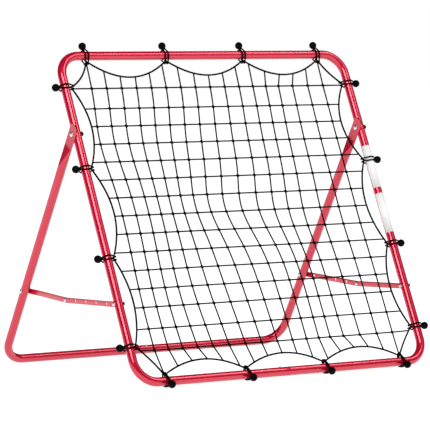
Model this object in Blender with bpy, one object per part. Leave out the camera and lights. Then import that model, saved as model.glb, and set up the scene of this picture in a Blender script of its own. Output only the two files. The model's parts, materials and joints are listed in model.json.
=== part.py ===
"""Soccer rebounder: a leaning square tube frame that holds a tied net, on a folding rear stand.

Metres, +Z up, +X to the right as seen from the front, the net faces -Y.
The origin is on the ground, under the middle of the whole object.
"""

import math

import bmesh
import bpy
from mathutils import Matrix, Vector

# Tube that the frame and the stand are bent from
TUBE_RADIUS = 0.0127
TUBE_WALL = 0.0015
TUBE_SIDES = 16
BEND_STEPS = 5

# Net frame, between tube centre lines; heights run up the lean
FRAME_WIDTH = 0.975
FRAME_HEIGHT = 0.975
FRAME_BEND = 0.065
FRAME_LEAN = math.radians(25.7)

# Rear stand, which hinges on the side tubes
PIVOT_HEIGHT = 0.736
STAND_LEAN = math.radians(31.0)
STAND_BEND = 0.062
FLAT_THICKNESS = 0.0032
FLAT_WIDTH = 0.0385
FLAT_TOP = 0.028
FLAT_BOTTOM = 0.038
FLAT_TAPER = 0.042
TAPER_STEPS = 5

# Slip joints in the middle of both rails of the frame and of the rear rail
SEAM_X = 0.007
SPIGOT_LENGTH = 0.050
SPIGOT_TAPER = 0.006
BUTTON_INSET = 0.026
BUTTON_RADIUS = 0.0034
BUTTON_PROUD = 0.0030
LEAF_LENGTH = 0.030
LEAF_WIDTH = 0.006
LEAF_THICKNESS = 0.0008
BUTTON_SIDES = 10

# Two-piece braces: one bar with setting holes and one plain bar on each side
BRACE_ON_FRAME = 0.230
BRACE_ON_LEG = 0.533
BRACE_DIP = math.radians(2.0)
BAR_WIDTH = 0.0155
BAR_THICKNESS = 0.0025
BAR_STRAIGHT = 0.060
BAR_MID_STRAIGHT = 0.025
BAR_SIDES = 12
FIRST_HOLE = 0.040
HOLE_PITCH = 0.058
HOLE_COUNT = 5
SETTING_HOLE_RADIUS = 0.0040

# Dome-head bolts and hexagon nuts
PIVOT_BOLT_RADIUS = 0.0040
BRACE_BOLT_RADIUS = 0.0030
HEAD_SPREAD = 1.9
HEAD_RISE = 0.95
NUT_SPREAD = 1.85
NUT_RISE = 1.5
BOLT_END = 0.0020
BOLT_SIDES = 10
NUT_SIDES = 12

# Net: its mesh and its border cord; the outer meshes are pulled taller
NET_COLUMNS = 17
NET_ROWS = 15
ROWS_PULLED_BELOW = 2
ROWS_PULLED_ABOVE = 1
ROW_PULL = 1.15
NET_STRAND = 0.0030
BORDER_CORD = 0.0040
BOTTOM_ROW_DROP = 0.0129
TOP_ROW_DROP = 0.0043

# Scallops between the ties, from left to right and from the bottom up
SCALLOPS_TOP = (0.048, 0.044, 0.045)
SCALLOPS_BOTTOM = (0.037, 0.037, 0.037)
SCALLOPS_LEFT = (0.027, 0.036, 0.033)
SCALLOPS_RIGHT = (0.032, 0.035, 0.042)
TOP_GAP = 0.0060
SIDE_GAP = 0.0083
BOTTOM_GAP = 0.0053

# Where the slack net sways left: how far, its middle across and up, its half width and height, its lean
SWAYS = (
    (0.040, 0.03, 0.50, 0.22, 0.12, -0.50),
    (0.030, 0.25, 0.33, 0.10, 0.63, 0.05),
    (0.040, -0.17, 0.33, 0.20, 0.31, 0.30),
    (0.025, -0.20, 0.70, 0.38, 0.13, -0.15),
)

# Elastic ties: a cord loop and a ball, four on each side of the net
TIES_PER_SIDE = 4
TIE_FROM_BEND_X = 0.0235
TIE_FROM_BEND_Z = 0.0335
SIDE_TIE_RISES = (0.005, 0.005, 0.013, 0.002)
BALL_RADIUS = 0.011
BALL_STANDOFF = 0.0068
BALL_SEGMENTS = 8
BALL_RINGS = 6
TIE_CORD_RADIUS = 0.0018
TIE_SPREAD = 0.0052
HOOK_SPREAD = 0.0045
NECK_SPREAD = 0.0030
CORD_LEAVES_BALL = math.radians(54)
CORD_LEAVES_TUBE = math.radians(126)
WRAP_STEP = math.radians(36)
CORD_SQUASH = 0.00036

# Clearances
FIT = 0.0003
BOLT_CLEARANCE = 0.0003

HALF_WIDTH = FRAME_WIDTH / 2
FACET = math.cos(math.pi / TUBE_SIDES)
BORE_RADIUS = TUBE_RADIUS - TUBE_WALL
SPIGOT_RADIUS = BORE_RADIUS - FIT
SPIGOT_BORE = SPIGOT_RADIUS - TUBE_WALL
WRAP_RADIUS = TUBE_RADIUS + FIT + TIE_CORD_RADIUS
RAIL_HEIGHT = WRAP_RADIUS + TIE_CORD_RADIUS - CORD_SQUASH
REAR_RAIL_HEIGHT = TUBE_RADIUS * FACET
LEG_OFFSET = TUBE_RADIUS + FIT + FLAT_THICKNESS / 2
BALL_REACH = TUBE_RADIUS + BALL_STANDOFF + BALL_RADIUS
TIE_INSET_X = FRAME_BEND + TIE_FROM_BEND_X
TIE_INSET_Z = FRAME_BEND + TIE_FROM_BEND_Z
BUTTON_X = SEAM_X - BUTTON_INSET

SIDES = {"left": -1, "right": 1}

for item in list(bpy.data.objects):
    bpy.data.objects.remove(item, do_unlink=True)


def side_point(start, angle, distance):
    """A point of the side view, at a distance along an angle that tips back from upright."""
    return start + distance * Vector((0, math.sin(angle), math.cos(angle)))


# Side view of the rest pose, centred front to back over the origin
LEG_ANGLE = math.pi - STAND_LEAN
leg_length = (
    RAIL_HEIGHT + PIVOT_HEIGHT * math.cos(FRAME_LEAN) - REAR_RAIL_HEIGHT
) / math.cos(STAND_LEAN)
depth = PIVOT_HEIGHT * math.sin(FRAME_LEAN) + leg_length * math.sin(STAND_LEAN)
floor_ball_drop = RAIL_HEIGHT - BALL_RADIUS - FIT
floor_ball_y = -math.sqrt(BALL_REACH**2 - floor_ball_drop**2)
front_edge = floor_ball_y - BALL_RADIUS
rear_edge = depth + TUBE_RADIUS
FRONT_RAIL = Vector((0, -(front_edge + rear_edge) / 2, RAIL_HEIGHT))
PIVOT = side_point(FRONT_RAIL, FRAME_LEAN, PIVOT_HEIGHT)
FRAME_BRACE = side_point(FRONT_RAIL, FRAME_LEAN, BRACE_ON_FRAME)
LEG_BRACE = side_point(PIVOT, LEG_ANGLE, BRACE_ON_LEG)


def material(name, colour, metallic, roughness):
    """A plain surface for one kind of part, its colour in linear values."""
    surface = bpy.data.materials.new(name)
    surface.use_nodes = True
    shader = surface.node_tree.nodes["Principled BSDF"]
    shader.inputs["Base Color"].default_value = (*colour, 1.0)
    shader.inputs["Metallic"].default_value = metallic
    shader.inputs["Roughness"].default_value = roughness
    return surface


RED_PAINT = material("red_powder_coat", (0.50, 0.006, 0.028), 0.0, 0.25)
ZINC = material("zinc_plate", (0.72, 0.73, 0.74), 1.0, 0.30)
BLACK_STEEL = material("black_steel", (0.02, 0.02, 0.02), 0.6, 0.45)
BLACK_PLASTIC = material("black_plastic", (0.008, 0.009, 0.009), 0.0, 0.40)
ELASTIC = material("black_elastic", (0.010, 0.010, 0.011), 0.0, 0.75)
NET_TWINE = material("black_twine", (0.012, 0.012, 0.013), 0.0, 0.80)


def carrier(name, location, turn):
    """An empty that carries parts; its X axis stays level."""
    empty = bpy.data.objects.new(name, None)
    empty.location = location
    empty.rotation_euler = (turn, 0.0, 0.0)
    bpy.context.scene.collection.objects.link(empty)
    return empty


NET_FRAME = carrier("net_frame", FRONT_RAIL, -FRAME_LEAN)
STAND_HINGE = carrier("stand_hinge", PIVOT, STAND_LEAN)


def place(name, mesh, surface, parent, smooth=True):
    """Makes the named part from its mesh and hangs it on its carrier."""
    part = bpy.data.objects.new(name, mesh)
    bpy.context.scene.collection.objects.link(part)
    part.parent = parent
    mesh.materials.append(surface)
    if smooth:
        mesh.shade_smooth()
        mesh.set_sharp_from_angle(angle=math.radians(40))
    return part


def closed_mesh(bm, name):
    """Turns a closed bmesh into a mesh with its faces outwards."""
    bmesh.ops.remove_doubles(bm, verts=bm.verts, dist=1e-6)
    bmesh.ops.recalc_face_normals(bm, faces=bm.faces)
    mesh = bpy.data.meshes.new(name)
    bm.to_mesh(mesh)
    bm.free()
    return mesh


def hide_tool(tool):
    tool.hide_render = True
    tool.display_type = "WIRE"


def rod(name, radius, start, end, parent, sides=BOLT_SIDES):
    """A hidden straight rod, in its carrier's space, that cuts a hole."""
    start, end = Vector(start), Vector(end)
    turn = (end - start).to_track_quat("Z", "Y").to_matrix().to_4x4()
    bm = bmesh.new()
    bmesh.ops.create_cone(
        bm,
        cap_ends=True,
        segments=sides,
        radius1=radius,
        radius2=radius,
        depth=(end - start).length,
        matrix=Matrix.Translation((start + end) / 2) @ turn,
    )
    tool = place(name, closed_mesh(bm, name), BLACK_STEEL, parent, smooth=False)
    hide_tool(tool)
    return tool


def combine(part, tool, operation="DIFFERENCE"):
    step = part.modifiers.new(tool.name, "BOOLEAN")
    step.object = tool
    step.operation = operation
    step.solver = "EXACT"


def spin_profile(bm, points, axis, sides):
    """Turns a profile, whose ends lie on the axis, into a closed round body."""
    verts = [bm.verts.new(point) for point in points]
    edges = [bm.edges.new(pair) for pair in zip(verts, verts[1:])]
    bmesh.ops.spin(
        bm,
        geom=verts + edges,
        cent=(0, 0, 0),
        axis=axis,
        angle=2 * math.pi,
        steps=sides,
        use_merge=True,
        use_duplicate=False,
    )


def boundary_edges(geometry):
    return [item for item in geometry if isinstance(item, bmesh.types.BMEdge) and item.is_boundary]


def ring_edges(ring):
    return list(dict.fromkeys(edge for vert in ring for edge in vert.link_edges))


def join_rings(bm, outer, inner):
    """Closes the flat end between two rings across X, one inside the other."""
    verts = list(dict.fromkeys(vert for edge in inner for vert in edge.verts))
    bmesh.ops.translate(bm, vec=(FIT, 0, 0), verts=verts)
    bmesh.ops.bridge_loops(bm, edges=outer + inner)
    bmesh.ops.translate(bm, vec=(-FIT, 0, 0), verts=verts)


# Bent tubes


class TubeSkin:
    """One skin of a tube, drawn along its route ring by ring."""

    def __init__(self, bm, centre, radius, roll):
        self.bm = bm
        self.centre = Vector(centre)
        self.radius = radius
        turn = Matrix.Rotation(math.pi / 2, 4, "Y") @ Matrix.Rotation(roll, 4, "Z")
        ring = bmesh.ops.create_circle(
            bm,
            segments=TUBE_SIDES,
            radius=radius,
            matrix=Matrix.Translation(self.centre) @ turn,
        )["verts"]
        self.first = ring_edges(ring)
        self.last = self.first

    def verts(self):
        return list(dict.fromkeys(vert for edge in self.last for vert in edge.verts))

    def run(self, step, radius=None):
        """Straight on by a vector, opening or closing to a new radius if one is given."""
        made = bmesh.ops.extrude_edge_only(self.bm, edges=self.last)["geom"]
        self.last = boundary_edges(made)
        if radius is not None:
            scale = radius / self.radius
            bmesh.ops.scale(
                self.bm,
                vec=(scale, scale, scale),
                space=Matrix.Translation(-self.centre),
                verts=self.verts(),
            )
            self.radius = radius
        bmesh.ops.translate(self.bm, vec=step, verts=self.verts())
        self.centre += Vector(step)

    def bend(self, middle, angle):
        """Round a corner, about an axis along Y through the bend's middle."""
        made = bmesh.ops.spin(
            self.bm,
            geom=self.last,
            cent=middle,
            axis=(0, 1, 0),
            angle=angle,
            steps=BEND_STEPS,
            use_duplicate=False,
        )["geom_last"]
        self.last = boundary_edges(made)
        turn = Matrix.Rotation(angle, 3, "Y")
        self.centre = Vector(middle) + turn @ (self.centre - Vector(middle))


def half_frame(name, side):
    """Half of the net frame. The right half has the spigots, the left half takes them."""
    spigots = side > 0
    straight = HALF_WIDTH - FRAME_BEND - side * SEAM_X
    corner_x = side * (HALF_WIDTH - FRAME_BEND)
    quarter = side * math.pi / 2
    bm = bmesh.new()
    skins = []
    for radius, end_radius, taper in (
        (TUBE_RADIUS, SPIGOT_RADIUS, 0.0),
        (BORE_RADIUS, SPIGOT_BORE, SPIGOT_TAPER),
    ):
        spigot = SPIGOT_LENGTH if spigots else 0.0
        start = (SEAM_X - side * spigot, 0, FRAME_HEIGHT)
        roll = math.pi / TUBE_SIDES
        skin = TubeSkin(bm, start, end_radius if spigots else radius, roll)
        if spigots:
            skin.run((spigot, 0, 0))
            skin.run((taper, 0, 0), radius)
            skin.run((straight - taper, 0, 0))
        else:
            skin.run((-straight, 0, 0))
        skin.bend((corner_x, 0, FRAME_HEIGHT - FRAME_BEND), quarter)
        skin.run((0, 0, 2 * FRAME_BEND - FRAME_HEIGHT))
        skin.bend((corner_x, 0, FRAME_BEND), quarter)
        if spigots:
            skin.run((taper - straight, 0, 0))
            skin.run((-taper, 0, 0), end_radius)
            skin.run((-spigot, 0, 0))
        else:
            skin.run((straight, 0, 0))
        skins.append(skin)
    join_rings(bm, skins[0].first, skins[1].first)
    join_rings(bm, skins[0].last, skins[1].last)
    return place(name, closed_mesh(bm, name), RED_PAINT, NET_FRAME)


def press(verts, rounds, centre, twist, share):
    """Moves a round ring of points towards the flat section of a pressed tube end."""
    edge_fold = 1 - 2 / TUBE_SIDES
    for vert, (across, along) in zip(verts, rounds):
        angle = math.atan2(along, across) - twist
        fold = math.asin(math.sin(angle)) / (math.pi / 2) / edge_fold
        flat_x = math.copysign(FLAT_THICKNESS / 2, math.cos(angle))
        flat_y = fold * FLAT_WIDTH / 2
        vert.co.x = centre + across * (1 - share) + flat_x * share
        vert.co.y = along * (1 - share) + flat_y * share


def half_stand(name, side):
    """Half of the stand. The right half has the spigot, and the pivot is at Z = 0."""
    spigots = side > 0
    leg_x = side * HALF_WIDTH - LEG_OFFSET
    corner_x = leg_x - side * STAND_BEND
    straight = abs(corner_x - SEAM_X)
    taper_start = -(FLAT_BOTTOM + FLAT_TAPER)
    roll = math.pi / TUBE_SIDES - STAND_LEAN
    bm = bmesh.new()
    skins = []
    for radius, end_radius, taper in (
        (TUBE_RADIUS, SPIGOT_RADIUS, 0.0),
        (BORE_RADIUS, SPIGOT_BORE, SPIGOT_TAPER),
    ):
        spigot = SPIGOT_LENGTH if spigots else 0.0
        start = (SEAM_X - side * spigot, 0, -leg_length)
        skin = TubeSkin(bm, start, end_radius if spigots else radius, roll)
        if spigots:
            skin.run((spigot, 0, 0))
            skin.run((taper, 0, 0), radius)
            skin.run((straight - taper, 0, 0))
        else:
            skin.run((-straight, 0, 0))
        skin.bend((corner_x, 0, STAND_BEND - leg_length), -side * math.pi / 2)
        skin.run((0, 0, leg_length - STAND_BEND + taper_start))
        skins.append(skin)
    outer, inner = skins
    join_rings(bm, outer.first, inner.first)
    taper_step = (0, 0, FLAT_TAPER / TAPER_STEPS)
    inner.run(taper_step, BORE_RADIUS / 2)
    bmesh.ops.contextual_create(bm, geom=inner.last)
    rounds = [(vert.co.x - leg_x, vert.co.y) for vert in outer.verts()]
    facet = 2 * math.pi / TUBE_SIDES
    twist = math.atan2(rounds[0][1], rounds[0][0]) % facet - facet / 2
    for index in range(1, TAPER_STEPS + 1):
        share = index / TAPER_STEPS
        outer.run(taper_step)
        press(outer.verts(), rounds, leg_x, twist, share * share * (3 - 2 * share))
    outer.run((0, 0, FLAT_BOTTOM + FLAT_TOP))
    bmesh.ops.contextual_create(bm, geom=outer.last)
    return place(name, closed_mesh(bm, name), RED_PAINT, STAND_HINGE)


frame_halves = {end: half_frame(f"main_frame_{end}", side) for end, side in SIDES.items()}
stand_halves = {end: half_stand(f"stand_{end}", side) for end, side in SIDES.items()}

for end, side in SIDES.items():
    main_x = side * HALF_WIDTH
    leg_x = main_x - LEG_OFFSET
    for part, parent, x, height, radius, use in (
        (frame_halves[end], NET_FRAME, main_x, PIVOT_HEIGHT, PIVOT_BOLT_RADIUS, "frame_pivot"),
        (frame_halves[end], NET_FRAME, main_x, BRACE_ON_FRAME, BRACE_BOLT_RADIUS, "frame_brace"),
        (stand_halves[end], STAND_HINGE, leg_x, 0.0, PIVOT_BOLT_RADIUS, "leg_pivot"),
        (stand_halves[end], STAND_HINGE, leg_x, -BRACE_ON_LEG, BRACE_BOLT_RADIUS, "leg_brace"),
    ):
        reach = 2 * TUBE_RADIUS
        hole = rod(
            f"{use}_hole_{end}",
            radius + BOLT_CLEARANCE,
            (x - reach, 0, height),
            (x + reach, 0, height),
            parent,
        )
        combine(part, hole)


# Snap buttons that lock the slip joints


def snap_button(name, height, turn, parent, halves):
    """A domed button on its spring leaf, and the hole that it looks out of."""
    seat = SPIGOT_BORE * FACET - FIT
    leaf_top = math.sqrt(seat**2 - (LEAF_WIDTH / 2) ** 2)
    dome = TUBE_RADIUS + BUTTON_PROUD
    shoulder = TUBE_RADIUS + BUTTON_PROUD / 3
    profile = (
        (0, leaf_top - LEAF_THICKNESS / 2),
        (BUTTON_RADIUS, leaf_top - LEAF_THICKNESS / 2),
        (BUTTON_RADIUS, shoulder),
        (BUTTON_RADIUS * 0.75, dome - BUTTON_PROUD / 6),
        (0, dome),
    )
    bm = bmesh.new()
    spin_profile(bm, [(radius, 0, level) for radius, level in profile], (0, 0, 1), BUTTON_SIDES)
    button = place(name, closed_mesh(bm, name), ZINC, parent)
    button.location = (BUTTON_X, 0, height)
    button.rotation_euler = (turn, 0, 0)
    bm = bmesh.new()
    bmesh.ops.create_cube(
        bm,
        size=1,
        matrix=Matrix.Translation((0, 0, leaf_top - LEAF_THICKNESS / 2))
        @ Matrix.Diagonal((LEAF_LENGTH, LEAF_WIDTH, LEAF_THICKNESS, 1)),
    )
    leaf = place(f"{name}_leaf", closed_mesh(bm, f"{name}_leaf"), ZINC, button, smooth=False)
    hide_tool(leaf)
    combine(button, leaf, "UNION")
    up = Matrix.Rotation(turn, 3, "X") @ Vector((0, 0, 2 * TUBE_RADIUS))
    middle = Vector((BUTTON_X, 0, height))
    hole = rod(f"{name}_hole", BUTTON_RADIUS + FIT, middle, middle + up, parent, BUTTON_SIDES)
    for half in halves.values():
        combine(half, hole)


snap_button("snap_button_bottom", 0.0, 0.0, NET_FRAME, frame_halves)
snap_button("snap_button_top", FRAME_HEIGHT, -math.pi / 2, NET_FRAME, frame_halves)
snap_button("snap_button_rear", -leg_length, 0.0, STAND_HINGE, stand_halves)


# Bolts and nuts, whose heads all face left


def bolt(name, radius, head_x, end_x, parent, y=0.0, z=0.0):
    """A dome-head bolt from the underside of its head to its end, along X."""
    head_radius = radius * HEAD_SPREAD
    head_height = radius * HEAD_RISE
    profile = (
        (-head_height, 0),
        (-head_height * 0.85, head_radius * 0.50),
        (-head_height * 0.45, head_radius * 0.88),
        (0, head_radius),
        (0, radius),
        (end_x - head_x, radius),
        (end_x - head_x, 0),
    )
    bm = bmesh.new()
    spin_profile(bm, [(x, 0, level) for x, level in profile], (1, 0, 0), BOLT_SIDES)
    part = place(name, closed_mesh(bm, name), ZINC, parent)
    part.location = (head_x, y, z)


def nut(name, radius, face_x, parent, y=0.0, z=0.0, stub=0.0):
    """A hexagon nut that seats on its left face. A stub makes it a closed one with a shank."""
    corner = radius * NUT_SPREAD
    rise = radius * NUT_RISE
    across = Matrix.Rotation(math.pi / 2, 4, "Y")
    bm = bmesh.new()
    outer = bmesh.ops.create_circle(bm, segments=NUT_SIDES, radius=corner, matrix=across)["verts"]
    for vert in outer[1::2]:
        vert.co *= math.cos(math.pi / 6)
    bore = radius if stub else radius + FIT
    inner = bmesh.ops.create_circle(bm, segments=NUT_SIDES, radius=bore, matrix=across)["verts"]
    rings = [ring_edges(outer), ring_edges(inner)]
    join_rings(bm, *rings)
    ends = []
    for ring, step in zip(rings, (rise, -stub if stub else rise)):
        made = bmesh.ops.extrude_edge_only(bm, edges=ring)["geom"]
        moved = [item for item in made if isinstance(item, bmesh.types.BMVert)]
        bmesh.ops.translate(bm, vec=(step, 0, 0), verts=moved)
        ends.append(boundary_edges(made))
    if stub:
        for ring in ends:
            bmesh.ops.contextual_create(bm, geom=ring)
    else:
        join_rings(bm, *ends)
    part = place(name, closed_mesh(bm, name), BLACK_STEEL, parent)
    part.location = (face_x, y, z)


def bolt_and_nut(use, end, radius, head_x, nut_x, parent, z):
    nut_end = nut_x + radius * NUT_RISE
    bolt(f"{use}_bolt_{end}", radius, head_x, nut_end + BOLT_END, parent, z=z)
    nut(f"{use}_nut_{end}", radius, nut_x, parent, z=z)


TUBE_SEAT = TUBE_RADIUS + FIT
BAR_SEAT = TUBE_SEAT + BAR_THICKNESS + FIT
for end, side in SIDES.items():
    main_x = side * HALF_WIDTH
    leg_x = main_x - LEG_OFFSET
    flat_seat = leg_x - FLAT_THICKNESS / 2 - FIT
    frame_nut = main_x + TUBE_SEAT
    bolt_and_nut("pivot", end, PIVOT_BOLT_RADIUS, flat_seat, frame_nut, NET_FRAME, PIVOT_HEIGHT)
    bolt_and_nut(
        "frame_brace",
        end,
        BRACE_BOLT_RADIUS,
        main_x - BAR_SEAT,
        frame_nut,
        NET_FRAME,
        BRACE_ON_FRAME,
    )
    bolt_and_nut(
        "leg_brace",
        end,
        BRACE_BOLT_RADIUS,
        leg_x - TUBE_SEAT,
        leg_x + BAR_SEAT,
        STAND_HINGE,
        -BRACE_ON_LEG,
    )


# Brace bars, which lie side by side where they meet


def bar(name, start_x, mid_x, length, holes, parent):
    """A flat bar along its own Y axis, from its end bolt to its last hole."""
    end_radius = BAR_WIDTH / 2 / math.cos(math.pi / BAR_SIDES)
    turn = Matrix.Rotation(math.pi / 2, 4, "Y") @ Matrix.Rotation(math.pi / BAR_SIDES, 4, "Z")
    bm = bmesh.new()
    ring = bmesh.ops.create_circle(
        bm, cap_ends=True, segments=BAR_SIDES, radius=end_radius, matrix=turn
    )["verts"]
    far = [vert for vert in ring if vert.co.y > 0]
    bmesh.ops.translate(bm, vec=(0, length, 0), verts=far)
    bmesh.ops.translate(bm, vec=(-BAR_THICKNESS / 2, 0, 0), verts=ring)
    made = bmesh.ops.extrude_face_region(bm, geom=bm.faces[:])["geom"]
    raised = [item for item in made if isinstance(item, bmesh.types.BMVert)]
    bmesh.ops.translate(bm, vec=(BAR_THICKNESS, 0, 0), verts=raised)
    set_from, set_to = BAR_STRAIGHT, length - BAR_MID_STRAIGHT
    for level in (set_from, set_to):
        bmesh.ops.bisect_plane(
            bm,
            geom=bm.verts[:] + bm.edges[:] + bm.faces[:],
            dist=1e-6,
            plane_co=(0, level, 0),
            plane_no=(0, 1, 0),
        )
    for vert in bm.verts:
        share = min(1.0, max(0.0, (vert.co.y - set_from) / (set_to - set_from)))
        vert.co.x += start_x + (mid_x - start_x) * share
    part = place(name, closed_mesh(bm, name), RED_PAINT, parent)
    reach = 2 * TUBE_RADIUS
    hole_radius = BRACE_BOLT_RADIUS + BOLT_CLEARANCE
    end_hole = rod(
        f"{name}_end_hole",
        hole_radius,
        (start_x - reach, 0, 0),
        (start_x + reach, 0, 0),
        parent,
    )
    combine(part, end_hole)
    row = rod(
        f"{name}_row_of_holes",
        SETTING_HOLE_RADIUS if len(holes) > 1 else hole_radius,
        (mid_x - reach, holes[0], 0),
        (mid_x + reach, holes[0], 0),
        parent,
    )
    if len(holes) > 1:
        copies = row.modifiers.new("pitch", "ARRAY")
        copies.count = len(holes)
        copies.use_relative_offset = False
        copies.use_constant_offset = True
        copies.constant_offset_displace = (0, HOLE_PITCH, 0)
    combine(part, row)


def turn_of(vector):
    return math.atan2(vector.z, vector.y)


setting_holes = [FIRST_HOLE + index * HOLE_PITCH for index in range(HOLE_COUNT)]
holed_length = setting_holes[-1]
brace_line = turn_of(LEG_BRACE - FRAME_BRACE)
for end, side in SIDES.items():
    main_x = side * HALF_WIDTH
    leg_x = main_x - LEG_OFFSET
    frame_bar_x = main_x - TUBE_SEAT - BAR_THICKNESS / 2
    leg_bar_x = leg_x + TUBE_SEAT + BAR_THICKNESS / 2
    middle_x = (frame_bar_x + leg_bar_x) / 2
    lap = (BAR_THICKNESS + FIT) / 2
    on_frame = (frame_bar_x, middle_x - lap)
    on_leg = (leg_bar_x, middle_x + lap)
    holed_on_frame = end == "left"
    if holed_on_frame:
        holed_start, holed_x = FRAME_BRACE, on_frame
        plain_start, plain_x = LEG_BRACE, on_leg
        holed_turn = brace_line - BRACE_DIP
    else:
        holed_start, holed_x = LEG_BRACE, on_leg
        plain_start, plain_x = FRAME_BRACE, on_frame
        holed_turn = brace_line + math.pi + BRACE_DIP
    along = Vector((0, math.cos(holed_turn), math.sin(holed_turn)))
    mid_point = holed_start + along * holed_length
    plain_length = (mid_point - plain_start).length
    plain_turn = turn_of(mid_point - plain_start)
    holed_axis = carrier(f"holed_bar_axis_{end}", holed_start, holed_turn)
    plain_axis = carrier(f"plain_bar_axis_{end}", plain_start, plain_turn)
    bar(f"brace_bar_holed_{end}", *holed_x, holed_length, setting_holes, holed_axis)
    bar(f"brace_bar_plain_{end}", *plain_x, plain_length, [plain_length], plain_axis)
    bolt_seat = (holed_axis, holed_length), (plain_axis, plain_length)
    (bolt_axis, bolt_y), (nut_axis, nut_y) = bolt_seat if holed_on_frame else bolt_seat[::-1]
    shank = FIT + BAR_THICKNESS
    bolt_x = middle_x - lap - BAR_THICKNESS / 2 - FIT
    nut_x = middle_x + lap + BAR_THICKNESS / 2 + FIT
    bolt(f"brace_mid_bolt_{end}", BRACE_BOLT_RADIUS, bolt_x, bolt_x + shank, bolt_axis, y=bolt_y)
    nut(f"brace_mid_nut_{end}", BRACE_BOLT_RADIUS, nut_x, nut_axis, y=nut_y, stub=shank)


# Net, in the middle plane of its frame


def spread(low, high, count):
    return [low + (high - low) * index / (count - 1) for index in range(count)]


tie_x = spread(TIE_INSET_X - HALF_WIDTH, HALF_WIDTH - TIE_INSET_X, TIES_PER_SIDE)
even_tie_z = spread(TIE_INSET_Z, FRAME_HEIGHT - TIE_INSET_Z, TIES_PER_SIDE)
tie_z = [even + rise for even, rise in zip(even_tie_z, SIDE_TIE_RISES)]
column_x = spread(tie_x[0], tie_x[-1], NET_COLUMNS)
even_rows = NET_ROWS - 1 - ROWS_PULLED_BELOW - ROWS_PULLED_ABOVE
row_steps = [ROW_PULL] * ROWS_PULLED_BELOW + [1.0] * even_rows + [ROW_PULL] * ROWS_PULLED_ABOVE
bottom_row, top_row = tie_z[0] - BOTTOM_ROW_DROP, tie_z[-1] - TOP_ROW_DROP
row_unit = (top_row - bottom_row) / sum(row_steps)
row_z = [bottom_row + row_unit * sum(row_steps[:count]) for count in range(NET_ROWS)]
border_row_z = [tie_z[0], *row_z[1:-1], tie_z[-1]]
CATCH = {
    "top": TUBE_RADIUS + TOP_GAP,
    "side": TUBE_RADIUS + SIDE_GAP,
    "bottom": TUBE_RADIUS + BOTTOM_GAP,
}


def scallop(position, ties, sags):
    """How far the border cord falls away from the line through its ties."""
    for first, second, sag in zip(ties, ties[1:], sags):
        if first <= position <= second:
            share = (position - first) / (second - first)
            return sag * 4 * share * (1 - share)
    return 0.0


def border_side(positions, ties, sags):
    """Border points of one side, at each strand and at each tie between strands."""
    between = [
        tie for tie in ties[1:-1] if min(abs(tie - place) for place in positions) > NET_STRAND
    ]
    return [(place, scallop(place, ties, sags)) for place in sorted([*positions, *between])]


top_border = [
    Vector((x, 0, FRAME_HEIGHT - CATCH["top"] - fall))
    for x, fall in border_side(column_x, tie_x, SCALLOPS_TOP)
]
bottom_border = [
    Vector((x, 0, CATCH["bottom"] + fall))
    for x, fall in border_side(column_x, tie_x, SCALLOPS_BOTTOM)
]
right_border = [
    Vector((HALF_WIDTH - CATCH["side"] - fall, 0, z))
    for z, fall in border_side(border_row_z, tie_z, SCALLOPS_RIGHT)
]
left_border = [
    Vector((CATCH["side"] + fall - HALF_WIDTH, 0, z))
    for z, fall in border_side(border_row_z, tie_z, SCALLOPS_LEFT)
]
border = [*top_border, *reversed(right_border), *reversed(bottom_border), *left_border]


def hung(column, z):
    """Where a knot of the even mesh hangs in the slack net."""
    x = column
    for far, across, up, half_width, half_height, lean in SWAYS:
        rise = z - up
        aside = (column - across - lean * rise) / half_width
        x -= far * math.exp(-(aside**2) - (rise / half_height) ** 2)
    return Vector((x, 0, z))


def net(name):
    """Faces for the openings of the mesh, then a strand along each of their edges."""
    bm = bmesh.new()
    knots = [[bm.verts.new(hung(x, z)) for x in column_x] for z in row_z]
    rim = {tuple(point): bm.verts.new(point) for point in border}

    def edge_cells(inner, points, axis):
        """Openings between a row of knots and the border beside it."""
        outer = [rim[tuple(point)] for point in points]
        ends = [0]
        for knot in inner[1:-1]:
            ends.append(min(range(len(outer)), key=lambda n: abs(outer[n].co[axis] - knot.co[axis])))
        ends.append(len(outer) - 1)
        for knot, after, start, end in zip(inner, inner[1:], ends, ends[1:]):
            bm.faces.new([knot, *outer[start : end + 1], after])

    for low, high in zip(knots, knots[1:]):
        for index in range(NET_COLUMNS - 1):
            bm.faces.new([low[index], low[index + 1], high[index + 1], high[index]])
    edge_cells(knots[-1], top_border, 0)
    edge_cells(knots[0], bottom_border, 0)
    edge_cells([row[0] for row in knots], left_border, 2)
    edge_cells([row[-1] for row in knots], right_border, 2)
    for knot, first, second in (
        (knots[-1][0], top_border[0], left_border[-1]),
        (knots[-1][-1], top_border[-1], right_border[-1]),
        (knots[0][0], bottom_border[0], left_border[0]),
        (knots[0][-1], bottom_border[-1], right_border[0]),
    ):
        bm.faces.new([knot, rim[tuple(first)], rim[tuple(second)]])
    bmesh.ops.recalc_face_normals(bm, faces=bm.faces)
    bm.verts.index_update()
    strand_knots = [vert.index for row in knots for vert in row]
    rim_knots = [vert.index for vert in rim.values()]
    mesh = bpy.data.meshes.new(name)
    bm.to_mesh(mesh)
    bm.free()
    part = place(name, mesh, NET_TWINE, NET_FRAME, smooth=False)
    thickness = part.vertex_groups.new(name="thickness")
    thickness.add(strand_knots, NET_STRAND / BORDER_CORD, "REPLACE")
    thickness.add(rim_knots, 1.0, "REPLACE")
    strands = part.modifiers.new("strands", "WIREFRAME")
    strands.thickness = BORDER_CORD
    strands.vertex_group = thickness.name
    strands.use_boundary = True
    strands.use_even_offset = False
    strands.use_replace = True


net("net")


# Elastic ties between the border cord and the frame


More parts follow.
